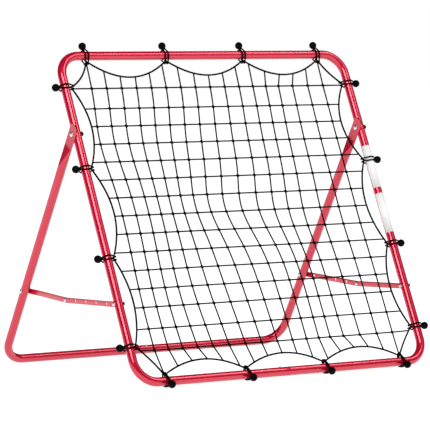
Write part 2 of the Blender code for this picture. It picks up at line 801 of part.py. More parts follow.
def cord_mesh(name, points, floor=None):
    """A round cord along its route, closed at both ends and flat where it meets the floor."""
    path = bpy.data.curves.new(name, "CURVE")
    path.dimensions = "3D"
    path.bevel_depth = TIE_CORD_RADIUS
    path.bevel_resolution = 1
    path.use_fill_caps = True
    spline = path.splines.new("POLY")
    spline.points.add(len(points) - 1)
    for point, target in zip(spline.points, points):
        point.co = (*target, 1.0)
    guide = bpy.data.objects.new(name, path)
    bpy.context.scene.collection.objects.link(guide)
    graph = bpy.context.evaluated_depsgraph_get()
    swept = bpy.data.meshes.new_from_object(guide.evaluated_get(graph))
    bpy.data.objects.remove(guide, do_unlink=True)
    bm = bmesh.new()
    bm.from_mesh(swept)
    bmesh.ops.remove_doubles(bm, verts=bm.verts, dist=1e-6)
    if floor:
        bmesh.ops.bisect_plane(
            bm,
            geom=bm.verts[:] + bm.edges[:] + bm.faces[:],
            dist=1e-6,
            plane_co=floor[0],
            plane_no=floor[1],
            clear_inner=True,
        )
        bmesh.ops.holes_fill(bm, edges=boundary_edges(bm.edges), sides=0)
    return closed_mesh(bm, name)


def arc(start, end):
    """Points of a cord that hugs the tube, as angles from outwards towards the front."""
    steps = math.ceil(abs(end - start) / WRAP_STEP - 1e-6)
    radius = WRAP_RADIUS / math.cos((end - start) / steps / 2)
    angles = [start + (end - start) * index / steps for index in range(steps + 1)]
    return [Vector((radius * math.cos(angle), -radius * math.sin(angle))) for angle in angles]


def border_falls(point, outward, along):
    """How steeply the border falls away on each side of a tie."""
    index = border.index(point)
    falls = {}
    for neighbour in (border[index - 1], border[(index + 1) % len(border)]):
        step = neighbour - point
        falls[1 if step @ along > 0 else -1] = -(step @ outward) / abs(step @ along)
    return falls


def tie(use, centre, outward, catch, ball_angle, floor=None):
    """One ball and its cord, which runs from the ball round the border and back to the ball."""
    rearward = Vector((0, 1, 0))
    along = outward.cross(rearward)
    caught = centre - outward * catch
    hook_point = min(border, key=lambda point: (point - caught).length)
    falls = border_falls(hook_point, outward, along)
    hook_radius = BORDER_CORD / 2 + FIT + TIE_CORD_RADIUS
    hook_bulge = hook_radius / math.cos(math.pi / 6)
    front = arc(ball_angle + CORD_LEAVES_BALL, CORD_LEAVES_TUBE)
    rear = arc(-CORD_LEAVES_TUBE, ball_angle - CORD_LEAVES_BALL)
    ball_at = BALL_REACH * Vector((math.cos(ball_angle), -math.sin(ball_angle)))
    neck_gap = BALL_RADIUS + 2 * FIT + TIE_CORD_RADIUS
    neck = ball_at + (rear[-1] - ball_at).normalized() * neck_gap
    throat = neck.lerp(rear[-1], 0.15)

    def strand(turn):
        """Half of the loop, from the ball to its turn behind the neck."""
        first = Vector((*front[0], turn * TIE_SPREAD))
        ball_centre = Vector((*ball_at, 0))
        leave = ball_centre + (first - ball_centre).normalized() * (BALL_RADIUS + FIT)
        near = -catch - falls[turn] * HOOK_SPREAD
        far = near - hook_radius * math.hypot(1, falls[turn])
        hook = ((near, -1), (far, -0.5), (far, 0.5), (near, 1))
        return [
            leave,
            *[Vector((*point, turn * TIE_SPREAD)) for point in front],
            *[Vector((level, hook_bulge * share, turn * HOOK_SPREAD)) for level, share in hook],
            *[Vector((*point, turn * TIE_SPREAD)) for point in rear],
            Vector((*throat, turn * NECK_SPREAD)),
        ]

    def in_frame(point):
        return centre + point.x * outward + point.y * rearward + point.z * along

    route = [*strand(1), Vector((*neck, 0)), *reversed(strand(-1))]
    cord_name = f"tie_cord_{use}"
    mesh = cord_mesh(cord_name, [in_frame(point) for point in route], floor)
    place(cord_name, mesh, ELASTIC, NET_FRAME)
    bm = bmesh.new()
    bmesh.ops.create_uvsphere(
        bm,
        u_segments=BALL_SEGMENTS,
        v_segments=BALL_RINGS,
        radius=BALL_RADIUS,
        matrix=outward.to_track_quat("Z", "Y").to_matrix().to_4x4(),
    )
    ball_name = f"tie_ball_{use}"
    ball = place(ball_name, closed_mesh(bm, ball_name), BLACK_PLASTIC, NET_FRAME)
    ball.location = in_frame(Vector((*ball_at, 0)))


into_frame = Matrix.Rotation(FRAME_LEAN, 3, "X")
floor_up = into_frame @ Vector((0, 0, 1))
floor_ball = into_frame @ Vector((0, floor_ball_y, -floor_ball_drop))
floor_ball_angle = math.atan2(-floor_ball.y, -floor_ball.z)
ground = (-RAIL_HEIGHT * floor_up, floor_up)
UP, RIGHT = Vector((0, 0, 1)), Vector((1, 0, 0))
for number, (x, z) in enumerate(zip(tie_x, tie_z), 1):
    tie(f"top_{number}", Vector((x, 0, FRAME_HEIGHT)), UP, CATCH["top"], 0.0)
    tie(f"bottom_{number}", Vector((x, 0, 0)), -UP, CATCH["bottom"], floor_ball_angle, ground)
    tie(f"left_{number}", Vector((-HALF_WIDTH, 0, z)), -RIGHT, CATCH["side"], 0.0)
    tie(f"right_{number}", Vector((HALF_WIDTH, 0, z)), RIGHT, CATCH["side"], 0.0)
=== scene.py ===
"""Soccer rebounder: a leaning tube frame that holds a tied net, on a folding rear stand.

Metres, +Z up, +X to the right as seen from the front. The net faces -Y and the ground is at Z = 0.
"""

import json
import math

import bmesh
import bpy
from mathutils import Matrix, Vector


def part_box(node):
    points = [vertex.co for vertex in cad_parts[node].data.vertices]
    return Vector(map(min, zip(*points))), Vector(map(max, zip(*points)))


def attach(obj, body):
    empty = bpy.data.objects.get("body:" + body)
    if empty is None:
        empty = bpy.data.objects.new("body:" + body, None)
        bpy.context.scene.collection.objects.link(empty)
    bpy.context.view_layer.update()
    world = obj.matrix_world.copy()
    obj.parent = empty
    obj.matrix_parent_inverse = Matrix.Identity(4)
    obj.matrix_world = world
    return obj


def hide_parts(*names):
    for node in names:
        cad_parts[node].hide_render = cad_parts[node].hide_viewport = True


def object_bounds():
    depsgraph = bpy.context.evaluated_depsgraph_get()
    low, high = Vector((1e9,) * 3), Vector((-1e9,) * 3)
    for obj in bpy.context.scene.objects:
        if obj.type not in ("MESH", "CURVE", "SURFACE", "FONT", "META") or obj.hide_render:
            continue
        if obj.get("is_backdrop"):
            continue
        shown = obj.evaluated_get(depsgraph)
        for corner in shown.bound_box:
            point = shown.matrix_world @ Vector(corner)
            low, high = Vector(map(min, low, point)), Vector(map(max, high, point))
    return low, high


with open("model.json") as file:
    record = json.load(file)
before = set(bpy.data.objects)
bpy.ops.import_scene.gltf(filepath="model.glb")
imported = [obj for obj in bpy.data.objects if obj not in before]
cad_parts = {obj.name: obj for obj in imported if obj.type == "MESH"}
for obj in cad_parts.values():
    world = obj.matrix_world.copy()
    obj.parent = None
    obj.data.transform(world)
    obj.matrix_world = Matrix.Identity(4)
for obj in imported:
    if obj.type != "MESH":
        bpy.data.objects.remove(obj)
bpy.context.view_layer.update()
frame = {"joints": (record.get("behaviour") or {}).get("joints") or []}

# Net frame. Two C-shaped halves of round steel tube, bent cold, drilled, and sprayed with red powder that is
# baked to a thick gloss skin. The left half slips over the swaged ends of the right half in both rails.
TUBE_RADIUS = 0.0127
TUBE_WALL = 0.0015
TUBE_SIDES = 48
BEND_STEPS = 20
RING_SPACING = 0.060
FRAME_WIDTH = 0.975
FRAME_HEIGHT = 0.975
FRAME_BEND = 0.065
PIVOT_HEIGHT = 0.736
BRACE_ON_FRAME = 0.230
SEAM_X = 0.007
SEAM_GAP = 0.0004
SPIGOT_LENGTH = 0.050
SPIGOT_TAPER = 0.006
FIT = 0.0003
PIVOT_BOLT_RADIUS = 0.0040
BRACE_BOLT_RADIUS = 0.0030
BOLT_CLEARANCE = 0.0003
BUTTON_X = -0.019
BUTTON_RADIUS = 0.0034
BUTTON_HOLE = BUTTON_RADIUS + FIT
HALF_WIDTH = FRAME_WIDTH / 2
SIDES = {"left": -1, "right": 1}
RED = "#de063b"
RED_DEEP = "#d40536"
ORANGE_PEEL = 0.0040
PEEL_STRENGTH = 0.012
PEEL_HEIGHT = 0.0002
PATCH_WIDTH = 1 / 9
EDGE_BREAK = 0.0004
SMOOTH_BELOW = math.radians(32)
MERGE_DISTANCE = 1e-6
HOLE_SIDES = 24
DRILL_REACH = 2 * TUBE_RADIUS
ACROSS_X = Matrix.Rotation(math.pi / 2, 4, "Y")

joints = {joint["name"]: joint for joint in frame["joints"]}
pivot = Vector(joints["stand_fold"]["pos_m"])
frame_brace = Vector(joints["frame_bar_left_fold"]["pos_m"])
leg_brace = Vector(joints["leg_bar_left_fold"]["pos_m"])
frame_lean = math.atan2(pivot.y - frame_brace.y, pivot.z - frame_brace.z)
stand_lean = math.atan2(leg_brace.y - pivot.y, pivot.z - leg_brace.z)
frame_up = Vector((0, math.sin(frame_lean), math.cos(frame_lean)))
front_rail = pivot - PIVOT_HEIGHT * frame_up
IN_FRAME = Matrix.Translation(front_rail) @ Matrix.Rotation(-frame_lean, 4, "X")
IN_STAND = Matrix.Translation(pivot) @ Matrix.Rotation(stand_lean, 4, "X")


def linear(hex_colour):
    """An sRGB hex colour as linear values, with alpha."""
    shares = [int(hex_colour[start : start + 2], 16) / 255 for start in (1, 3, 5)]
    return (*[s / 12.92 if s <= 0.04045 else ((s + 0.055) / 1.055) ** 2.4 for s in shares], 1.0)


def add(surface, kind, inputs, **settings):
    """Adds a node to a surface, with its settings, and its inputs as values or as links."""
    made = surface.node_tree.nodes.new(kind)
    for name, value in settings.items():
        setattr(made, name, value)
    for socket, value in inputs.items():
        if isinstance(value, bpy.types.NodeSocket):
            surface.node_tree.links.new(value, made.inputs[socket])
        else:
            made.inputs[socket].default_value = value
    return made


def new_surface(name, values):
    """A node material and its Principled shader, with the values that are the same all over it."""
    surface = bpy.data.materials.new(name)
    surface.use_nodes = True
    shader = surface.node_tree.nodes["Principled BSDF"]
    for socket, value in values.items():
        shader.inputs[socket].default_value = value
    return surface, shader


def join(surface, output, node, socket):
    surface.node_tree.links.new(output, node.inputs[socket])


def powder_coat(name, colour, deep):
    """Baked powder coat with a little metal flake under a clear gloss skin: a deep, saturated red that
    darkens at its edges and mirrors the lamps in bright bands, which waver a little as on orange peel.
    """
    values = {"Metallic": 0.4, "Roughness": 0.28, "Specular IOR Level": 0.25}
    clear_skin = {"Coat Weight": 0.78, "Coat IOR": 1.7, "Coat Roughness": 0.10}
    surface, shader = new_surface(name, values | clear_skin)
    place = add(surface, "ShaderNodeTexCoord", {}).outputs["Object"]
    patches = add(surface, "ShaderNodeTexNoise", {"Vector": place, "Scale": 1 / PATCH_WIDTH, "Detail": 3.0})
    shades = {0: patches.outputs["Fac"], 6: linear(deep), 7: linear(colour)}
    tint = add(surface, "ShaderNodeMix", shades, data_type="RGBA")
    peel = add(surface, "ShaderNodeTexNoise", {"Vector": place, "Scale": 1 / ORANGE_PEEL, "Detail": 2.0})
    raised = {"Height": peel.outputs["Fac"], "Strength": PEEL_STRENGTH, "Distance": PEEL_HEIGHT}
    relief = add(surface, "ShaderNodeBump", raised)
    join(surface, tint.outputs[2], shader, "Base Color")
    join(surface, relief.outputs["Normal"], shader, "Normal")
    return surface


RED_COAT = powder_coat("red_powder_coat", RED, RED_DEEP)


def ring_edges(ring):
    return list(dict.fromkeys(edge for vert in ring for edge in vert.link_edges))


def open_edges(geometry):
    return [item for item in geometry if isinstance(item, bmesh.types.BMEdge) and item.is_boundary]


def verts_of(edges):
    return list(dict.fromkeys(vert for edge in edges for vert in edge.verts))


def pull(bm, edges, vector=(0, 0, 0)):
    """Draws open edges out into a band of faces, along a vector, and gives the band's far edges."""
    far = open_edges(bmesh.ops.extrude_edge_only(bm, edges=edges)["geom"])
    bmesh.ops.translate(bm, vec=vector, verts=verts_of(far))
    return far


class TubeSkin:
    """One skin of a tube, drawn along its route ring by ring."""

    def __init__(self, bm, centre, radius):
        self.bm = bm
        self.centre = Vector(centre)
        self.radius = radius
        turn = Matrix.Translation(self.centre) @ ACROSS_X
        ring = bmesh.ops.create_circle(bm, segments=TUBE_SIDES, radius=radius, matrix=turn)["verts"]
        self.first = ring_edges(ring)
        self.last = self.first

    def step(self, vector, radius=None):
        """One ring further on, opened or closed to a new radius if one is given."""
        self.last = pull(self.bm, self.last)
        verts = verts_of(self.last)
        if radius is not None:
            scale = Vector((1, 1, 1)) * (radius / self.radius)
            bmesh.ops.scale(self.bm, vec=scale, space=Matrix.Translation(-self.centre), verts=verts)
            self.radius = radius
        bmesh.ops.translate(self.bm, vec=vector, verts=verts)
        self.centre += Vector(vector)

    def run(self, vector):
        """A straight run, with a ring every few centimetres so that a hole marks only its own stretch."""
        vector = Vector(vector)
        count = max(1, round(vector.length / RING_SPACING))
        for _ in range(count):
            self.step(vector / count)

    def bend(self, middle, angle):
        """Round a corner, about an axis along Y through the bend's middle."""
        made = bmesh.ops.spin(
            self.bm,
            geom=self.last,
            cent=middle,
            axis=(0, 1, 0),
            angle=angle,
            steps=BEND_STEPS,
            use_duplicate=False,
        )["geom_last"]
        self.last = open_edges(made)
        turn = Matrix.Rotation(angle, 3, "Y")
        self.centre = Vector(middle) + turn @ (self.centre - Vector(middle))


def skin_sizes(outer_radius):
    """For the outer and the inner skin of a tube: its radius, its spigot's radius and its swaged taper."""
    bore_radius = outer_radius - TUBE_WALL
    spigot_radius = bore_radius - FIT
    return (outer_radius, spigot_radius, 0.0), (bore_radius, spigot_radius - TUBE_WALL, SPIGOT_TAPER)


def from_slip_joint(bm, height, straight, spigots, radius, end_radius, taper):
    """A skin of a half tube, from its slip joint to its first bend."""
    if spigots:
        skin = TubeSkin(bm, (SEAM_X - SPIGOT_LENGTH, 0, height), end_radius)
        skin.run((SPIGOT_LENGTH, 0, 0))
        skin.step((taper, 0, 0), radius)
        skin.run((straight - taper, 0, 0))
    else:
        skin = TubeSkin(bm, (SEAM_X - SEAM_GAP, 0, height), radius)
        skin.run((SEAM_GAP - straight, 0, 0))
    return skin


def close_rings(bm, outer, inner):
    """Closes the flat end between two rings across X, one inside the other."""
    verts = verts_of(inner)
    bmesh.ops.translate(bm, vec=(FIT, 0, 0), verts=verts)
    bmesh.ops.bridge_loops(bm, edges=outer + inner)
    bmesh.ops.translate(bm, vec=(-FIT, 0, 0), verts=verts)


def soften(bm, edges, width):
    """Takes the sharpness off edges, as tumbling, pressing or paint does."""
    bmesh.ops.bevel(bm, geom=edges, offset=width, segments=2, profile=0.5, affect="EDGES", material=-1)


def shade(mesh):
    mesh.shade_smooth()
    mesh.set_sharp_from_angle(angle=SMOOTH_BELOW)


def to_mesh(name, bm):
    mesh = bpy.data.meshes.new(name)
    bm.to_mesh(mesh)
    bm.free()
    return mesh


def put(name, data):
    """A new object with this data, in the scene."""
    made = bpy.data.objects.new(name, data)
    bpy.context.scene.collection.objects.link(made)
    return made


def fitted(name, mesh, body, surface, nodes):
    """Puts a finished mesh in the scene as a piece, with its surface, its body and the nodes it replaces."""
    shade(mesh)
    mesh.materials.clear()
    mesh.materials.append(surface)
    made = put(name, mesh)
    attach(made, body)
    if nodes:
        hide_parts(*nodes)
    return made


def piece(bm, name, place, body, surface, slot, *nodes):
    """Finishes a bmesh as a piece: its seams merged, faces outwards and its place in its mesh."""
    bmesh.ops.remove_doubles(bm, verts=bm.verts, dist=MERGE_DISTANCE)
    bmesh.ops.recalc_face_normals(bm, faces=bm.faces)
    bmesh.ops.transform(bm, matrix=place, verts=bm.verts)
    return fitted(name, to_mesh(name, bm), body, surface, nodes)


def drill(part, holes, place):
    """Cuts round holes, each a radius and two ends, and keeps the result as the piece's mesh."""
    drills = []
    for radius, start, end in holes:
        start, end = Vector(start), Vector(end)
        turn = (end - start).to_track_quat("Z", "Y").to_matrix().to_4x4()
        bm = bmesh.new()
        bmesh.ops.create_cone(
            bm,
            cap_ends=True,
            segments=HOLE_SIDES,
            radius1=radius,
            radius2=radius,
            depth=(end - start).length,
            matrix=place @ Matrix.Translation((start + end) / 2) @ turn,
        )
        tool = put("drill", to_mesh("drill", bm))
        drills.append(tool)
        cut = part.modifiers.new("hole", "BOOLEAN")
        cut.object = tool
        cut.solver = "EXACT"
    graph = bpy.context.evaluated_depsgraph_get()
    drilled = bpy.data.meshes.new_from_object(part.evaluated_get(graph))
    part.modifiers.clear()
    part.data = drilled
    for tool in drills:
        bpy.data.objects.remove(tool, do_unlink=True)
    shade(drilled)


def through(x, height, radius):
    """A bolt hole straight through a tube or a bar along X."""
    return (radius + BOLT_CLEARANCE, (x - DRILL_REACH, 0, height), (x + DRILL_REACH, 0, height))


for end, side in SIDES.items():
    spigots = side > 0
    straight = HALF_WIDTH - FRAME_BEND - side * SEAM_X
    corner_x = side * (HALF_WIDTH - FRAME_BEND)
    quarter = side * math.pi / 2
    bm = bmesh.new()
    skins = []
    for radius, end_radius, taper in skin_sizes(TUBE_RADIUS):
        skin = from_slip_joint(bm, FRAME_HEIGHT, straight, spigots, radius, end_radius, taper)
        skin.bend((corner_x, 0, FRAME_HEIGHT - FRAME_BEND), quarter)
        skin.run((0, 0, 2 * FRAME_BEND - FRAME_HEIGHT))
        skin.bend((corner_x, 0, FRAME_BEND), quarter)
        if spigots:
            skin.run((taper - straight, 0, 0))
            skin.step((-taper, 0, 0), end_radius)
            skin.run((-SPIGOT_LENGTH, 0, 0))
        else:
            skin.run((straight - SEAM_GAP, 0, 0))
        skins.append(skin)
    close_rings(bm, skins[0].first, skins[1].first)
    close_rings(bm, skins[0].last, skins[1].last)
    soften(bm, skins[0].first + skins[0].last, EDGE_BREAK)
    node = f"main_frame_{end}"
    half = piece(bm, f"frame_tube_{end}", IN_FRAME, "net_frame", RED_COAT, "red_powder_coat", node)
    holes = [
        through(side * HALF_WIDTH, PIVOT_HEIGHT, PIVOT_BOLT_RADIUS),
        through(side * HALF_WIDTH, BRACE_ON_FRAME, BRACE_BOLT_RADIUS),
        (BUTTON_HOLE, (BUTTON_X, 0, 0), (BUTTON_X, 0, DRILL_REACH)),
        (BUTTON_HOLE, (BUTTON_X, 0, FRAME_HEIGHT), (BUTTON_X, DRILL_REACH, FRAME_HEIGHT)),
    ]
    drill(half, holes, IN_FRAME)


# Rear stand. Two L-shaped halves of the same tube, joined in the middle of the rear rail. The top of each
# leg is pressed flat in a die whose faces slope away to the round tube, and hangs on its pivot bolt.
STAND_RADIUS = 0.01245
STAND_BEND = 0.062
FLAT_THICKNESS = 0.0032
FLAT_WIDTH = 0.0385
FLAT_TOP = 0.028
FLAT_BOTTOM = 0.040
FLAT_TAPER = 0.063
FLAT_CORNER = 0.012
INNER_PRESS = 1.8
TAPER_RINGS = 20
CORNER_RINGS = 6
BORE_CLOSES_OVER = FLAT_TAPER / 6
BORE_CLOSES_BY = 3
BRACE_ON_LEG = 0.533
LEG_OFFSET = TUBE_RADIUS + FIT + FLAT_THICKNESS / 2

stand_low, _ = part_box("stand_left")
leg_length = (pivot.z - stand_low.z - STAND_RADIUS) / math.cos(stand_lean)


def press(verts, rounds, leg_x, height):
    """Squeezes a round ring towards the pressed flat, as between two sloping die faces.

    The side that faces the frame tube is pressed sooner, so that the leg can fold past that tube.
    """
    spread_ratio = (FLAT_WIDTH - FLAT_THICKNESS) / (2 * STAND_RADIUS - FLAT_THICKNESS)
    for vert, (across, along) in zip(verts, rounds):
        fold = math.asin(max(-1.0, min(1.0, along / STAND_RADIUS))) / (math.pi / 2)
        sooner = 1 + INNER_PRESS * max(0.0, across / STAND_RADIUS)
        share = min(1.0, height * sooner / FLAT_TAPER)
        half_thick = STAND_RADIUS + (FLAT_THICKNESS / 2 - STAND_RADIUS) * share
        half_flat = (STAND_RADIUS - half_thick) * spread_ratio
        length = abs(fold) * (half_flat + half_thick * math.pi / 2)
        round_edge = max(0.0, length - half_flat) / half_thick
        vert.co.x = leg_x + math.copysign(half_thick * math.cos(round_edge), across)
        vert.co.y = math.copysign(min(length, half_flat) + half_thick * math.sin(round_edge), along)


def round_the_end(verts):
    """Rounds the top corners of the flat."""
    for vert in verts:
        past = max(0.0, abs(vert.co.y) - (FLAT_WIDTH / 2 - FLAT_CORNER))
        left = math.sqrt(max(0.0, FLAT_CORNER**2 - past**2)) / FLAT_CORNER
        above = vert.co.z - (FLAT_TOP - FLAT_CORNER)
        if above > 0:
            vert.co.z -= above * (1 - left)


for end, side in SIDES.items():
    leg_x = side * HALF_WIDTH - LEG_OFFSET
    corner_x = leg_x - side * STAND_BEND
    straight = abs(corner_x - SEAM_X)
    taper_start = -(FLAT_BOTTOM + FLAT_TAPER)
    bm = bmesh.new()
    skins = []
    for sizes in skin_sizes(STAND_RADIUS):
        skin = from_slip_joint(bm, -leg_length, straight, side > 0, *sizes)
        skin.bend((corner_x, 0, STAND_BEND - leg_length), -side * math.pi / 2)
        skin.run((0, 0, leg_length - STAND_BEND + taper_start))
        skins.append(skin)
    outer, inner = skins
    close_rings(bm, outer.first, inner.first)
    inner.step((0, 0, BORE_CLOSES_OVER), inner.radius / BORE_CLOSES_BY)
    bmesh.ops.contextual_create(bm, geom=inner.last)
    flat_verts = verts_of(outer.last)
    rounds = [(vert.co.x - leg_x, vert.co.y) for vert in flat_verts]
    for index in range(1, TAPER_RINGS + 1):
        outer.step((0, 0, FLAT_TAPER / TAPER_RINGS))
        press(verts_of(outer.last), rounds, leg_x, FLAT_TAPER * index / TAPER_RINGS)
    outer.step((0, 0, FLAT_BOTTOM + FLAT_TOP - FLAT_CORNER))
    tip = []
    for _ in range(CORNER_RINGS):
        outer.step((0, 0, FLAT_CORNER / CORNER_RINGS))
        tip += verts_of(outer.last)
    round_the_end(tip)
    bmesh.ops.contextual_create(bm, geom=outer.last)
    soften(bm, outer.first, EDGE_BREAK)
    half = piece(bm, f"stand_tube_{end}", IN_STAND, "stand", RED_COAT, "red_powder_coat", f"stand_{end}")
    holes = [
        through(leg_x, 0.0, PIVOT_BOLT_RADIUS),
        through(leg_x, -BRACE_ON_LEG, BRACE_BOLT_RADIUS),
        (BUTTON_HOLE, (BUTTON_X, 0, -leg_length), (BUTTON_X, 0, DRILL_REACH - leg_length)),
    ]
    drill(half, holes, IN_STAND)


# Snap buttons. A zinc-plated dome, riveted to a strip of spring steel inside each spigot, looks out of a
# hole through both tubes and locks the slip joint.
BUTTON_PROUD = 0.0030
BUTTON_SHOULDER = 0.0010
LEAF_LENGTH = 0.030
LEAF_WIDTH = 0.006
LEAF_THICKNESS = 0.0008
LEAF_EDGE = 0.0002
DOME_RINGS = 8
DOME_SIDES = 24
ZINC = "#eceeef"
ZINC_SHADE = "#d3d7da"
SPANGLE = 0.0015
METAL_GRAIN = 0.0001


def mottled(surface, shader, noise, dark, light, strength, depth):
    """Mottles a surface between two shades by a noise that stays with the piece, and grains it alike."""
    place = add(surface, "ShaderNodeTexCoord", {}).outputs["Object"]
    height = add(surface, "ShaderNodeTexNoise", {"Vector": place, **noise}).outputs["Fac"]
    shades = {0: height, 6: linear(dark), 7: linear(light)}
    tint = add(surface, "ShaderNodeMix", shades, data_type="RGBA")
    relief = add(surface, "ShaderNodeBump", {"Height": height, "Strength": strength, "Distance": depth})
    join(surface, tint.outputs[2], shader, "Base Color")
    join(surface, relief.outputs["Normal"], shader, "Normal")


def zinc_plate(name):
    """Bright zinc plate, dipped and passivated: a cool grey metal with a fine mottle, drawn coarse enough
    to show, and soft reflections.
    """
    surface, shader = new_surface(name, {"Metallic": 1.0, "Roughness": 0.40})
    noise = {"Scale": 1 / SPANGLE, "Detail": 4.0}
    mottled(surface, shader, noise, ZINC_SHADE, ZINC, strength=0.15, depth=METAL_GRAIN)
    return surface


ZINC_PLATE = zinc_plate("zinc_plate")


def spin_profile(bm, points, axis, steps):
    """Turns a profile, whose ends lie on the axis, into a closed round body."""
    verts = [bm.verts.new(point) for point in points]
    edges = [bm.edges.new(pair) for pair in zip(verts, verts[1:])]
    bmesh.ops.spin(
        bm,
        geom=verts + edges,
        cent=(0, 0, 0),
        axis=axis,
        angle=2 * math.pi,
        steps=steps,
        use_merge=True,
        use_duplicate=False,
    )


def snap_button(use, height, turn, radius, place, body):
    """A domed button and its leaf, turned so that the dome looks out along +Z of its own space."""
    leaf_seat = radius - 2 * TUBE_WALL - 2 * FIT
    leaf_top = math.sqrt(leaf_seat**2 - (LEAF_WIDTH / 2) ** 2) - FIT
    dome = TUBE_RADIUS + BUTTON_PROUD
    shoulder = TUBE_RADIUS + BUTTON_SHOULDER
    profile = [(0, 0, leaf_top), (BUTTON_RADIUS, 0, leaf_top), (BUTTON_RADIUS, 0, shoulder)]
    for index in range(1, DOME_RINGS):
        angle = index / DOME_RINGS * math.pi / 2
        level = shoulder + (dome - shoulder) * math.sin(angle)
        profile.append((BUTTON_RADIUS * math.cos(angle), 0, level))
    profile.append((0, 0, dome))
    bm = bmesh.new()
    spin_profile(bm, profile, (0, 0, 1), DOME_SIDES)
    leaf_size = Matrix.Diagonal((LEAF_LENGTH, LEAF_WIDTH, LEAF_THICKNESS, 1))
    leaf_place = Matrix.Translation((0, 0, leaf_top - LEAF_THICKNESS / 2)) @ leaf_size
    leaf = bmesh.ops.create_cube(bm, size=1, matrix=leaf_place)["verts"]
    soften(bm, ring_edges(leaf), LEAF_EDGE)
    own = Matrix.Translation((BUTTON_X, 0, height)) @ Matrix.Rotation(turn, 4, "X")
    node = f"snap_button_{use}"
    piece(bm, f"button_dome_{use}", place @ own, body, ZINC_PLATE, "zinc_plate", node)


snap_button("bottom", 0.0, 0.0, TUBE_RADIUS, IN_FRAME, "button_bottom")
snap_button("top", FRAME_HEIGHT, -math.pi / 2, TUBE_RADIUS, IN_FRAME, "button_top")
snap_button("rear", -leg_length, 0.0, STAND_RADIUS, IN_STAND, "button_rear")


# Bolts and nuts. Zinc-plated mushroom-head bolts whose heads all face left, and black hexagon lock nuts with
# their corners chamfered and a round collar. A short run of thread stands out of each nut.
HEAD_SPREAD = 1.9
HEAD_RISE = 0.95
HEAD_RIM = 0.12
HEAD_RINGS = 8
HEAD_SIDES = 28
NUT_SPREAD = 1.85
NUT_RISE = 1.5
NUT_COLLAR = 0.25
NUT_CHAMFER = 0.80
NUT_EDGE = 0.07
NUT_SIDES = 24
SHARP_ABOVE = 0.6
BOLT_END = 0.0020
THREAD_PITCH = 0.0010
THREAD_DEPTH = 0.0003
THREAD_LENGTH = 0.006
BAR_THICKNESS = 0.0025
TUBE_SEAT = TUBE_RADIUS + FIT
BAR_SEAT = TUBE_SEAT + BAR_THICKNESS + FIT
BLACK_OXIDE = "#1d1e21"
OXIDE_GRAIN = 0.0012


def black_oxide(name):
    """Blackened steel, hot-dipped in salts: near black with a dull oily sheen on its corners, which a grain
    breaks up. The grain is drawn coarse enough to show.
    """
    surface, shader = new_surface(name, {"Base Color": linear(BLACK_OXIDE), "Metallic": 0.7})
    place = add(surface, "ShaderNodeTexCoord", {}).outputs["Object"]
    grain = add(surface, "ShaderNodeTexNoise", {"Vector": place, "Scale": 1 / OXIDE_GRAIN, "Detail": 3.0})
    height = grain.outputs["Fac"]
    sheen = add(surface, "ShaderNodeMapRange", {"Value": height, "To Min": 0.34, "To Max": 0.52})
    relief = add(surface, "ShaderNodeBump", {"Height": height, "Strength": 0.2, "Distance": METAL_GRAIN})
    join(surface, sheen.outputs["Result"], shader, "Roughness")
    join(surface, relief.outputs["Normal"], shader, "Normal")
    return surface


BLACK_STEEL = black_oxide("black_oxide_steel")


def bolt(use, radius, head_x, end_x, place, body, z=0.0):
    """A domed head, a plain shank and a threaded end, along X."""
    head_radius = radius * HEAD_SPREAD
    head_height = radius * HEAD_RISE
    rim = head_height * HEAD_RIM
    profile = [(-head_height, 0, 0)]
    for index in range(1, HEAD_RINGS + 1):
        angle = index / HEAD_RINGS * math.pi / 2
        level = -rim - (head_height - rim) * math.cos(angle)
        profile.append((level, 0, head_radius * math.sin(angle)))
    profile += [(0, 0, head_radius), (0, 0, radius)]
    length = end_x - head_x
    turn_x = max(0.0, length - THREAD_LENGTH)
    while turn_x + THREAD_PITCH <= length:
        profile.append((turn_x, 0, radius))
        profile.append((turn_x + THREAD_PITCH / 2, 0, radius - THREAD_DEPTH))
        turn_x += THREAD_PITCH
    profile += [(length, 0, radius - THREAD_DEPTH), (length, 0, 0)]
    bm = bmesh.new()
    spin_profile(bm, profile, (1, 0, 0), HEAD_SIDES)
    own = Matrix.Translation((head_x, 0, z))
    piece(bm, f"bolt_{use}", place @ own, body, ZINC_PLATE, "zinc_plate", use)


def hexagon(bm, corner):
    """A ring of points round a hexagon, across X."""
    ring = bmesh.ops.create_circle(bm, segments=NUT_SIDES, radius=corner, matrix=ACROSS_X)["verts"]
    sector = math.pi / 3
    for vert in ring:
        angle = math.atan2(vert.co.z, vert.co.y) % sector - sector / 2
        vert.co *= math.cos(sector / 2) / math.cos(angle)
    return ring


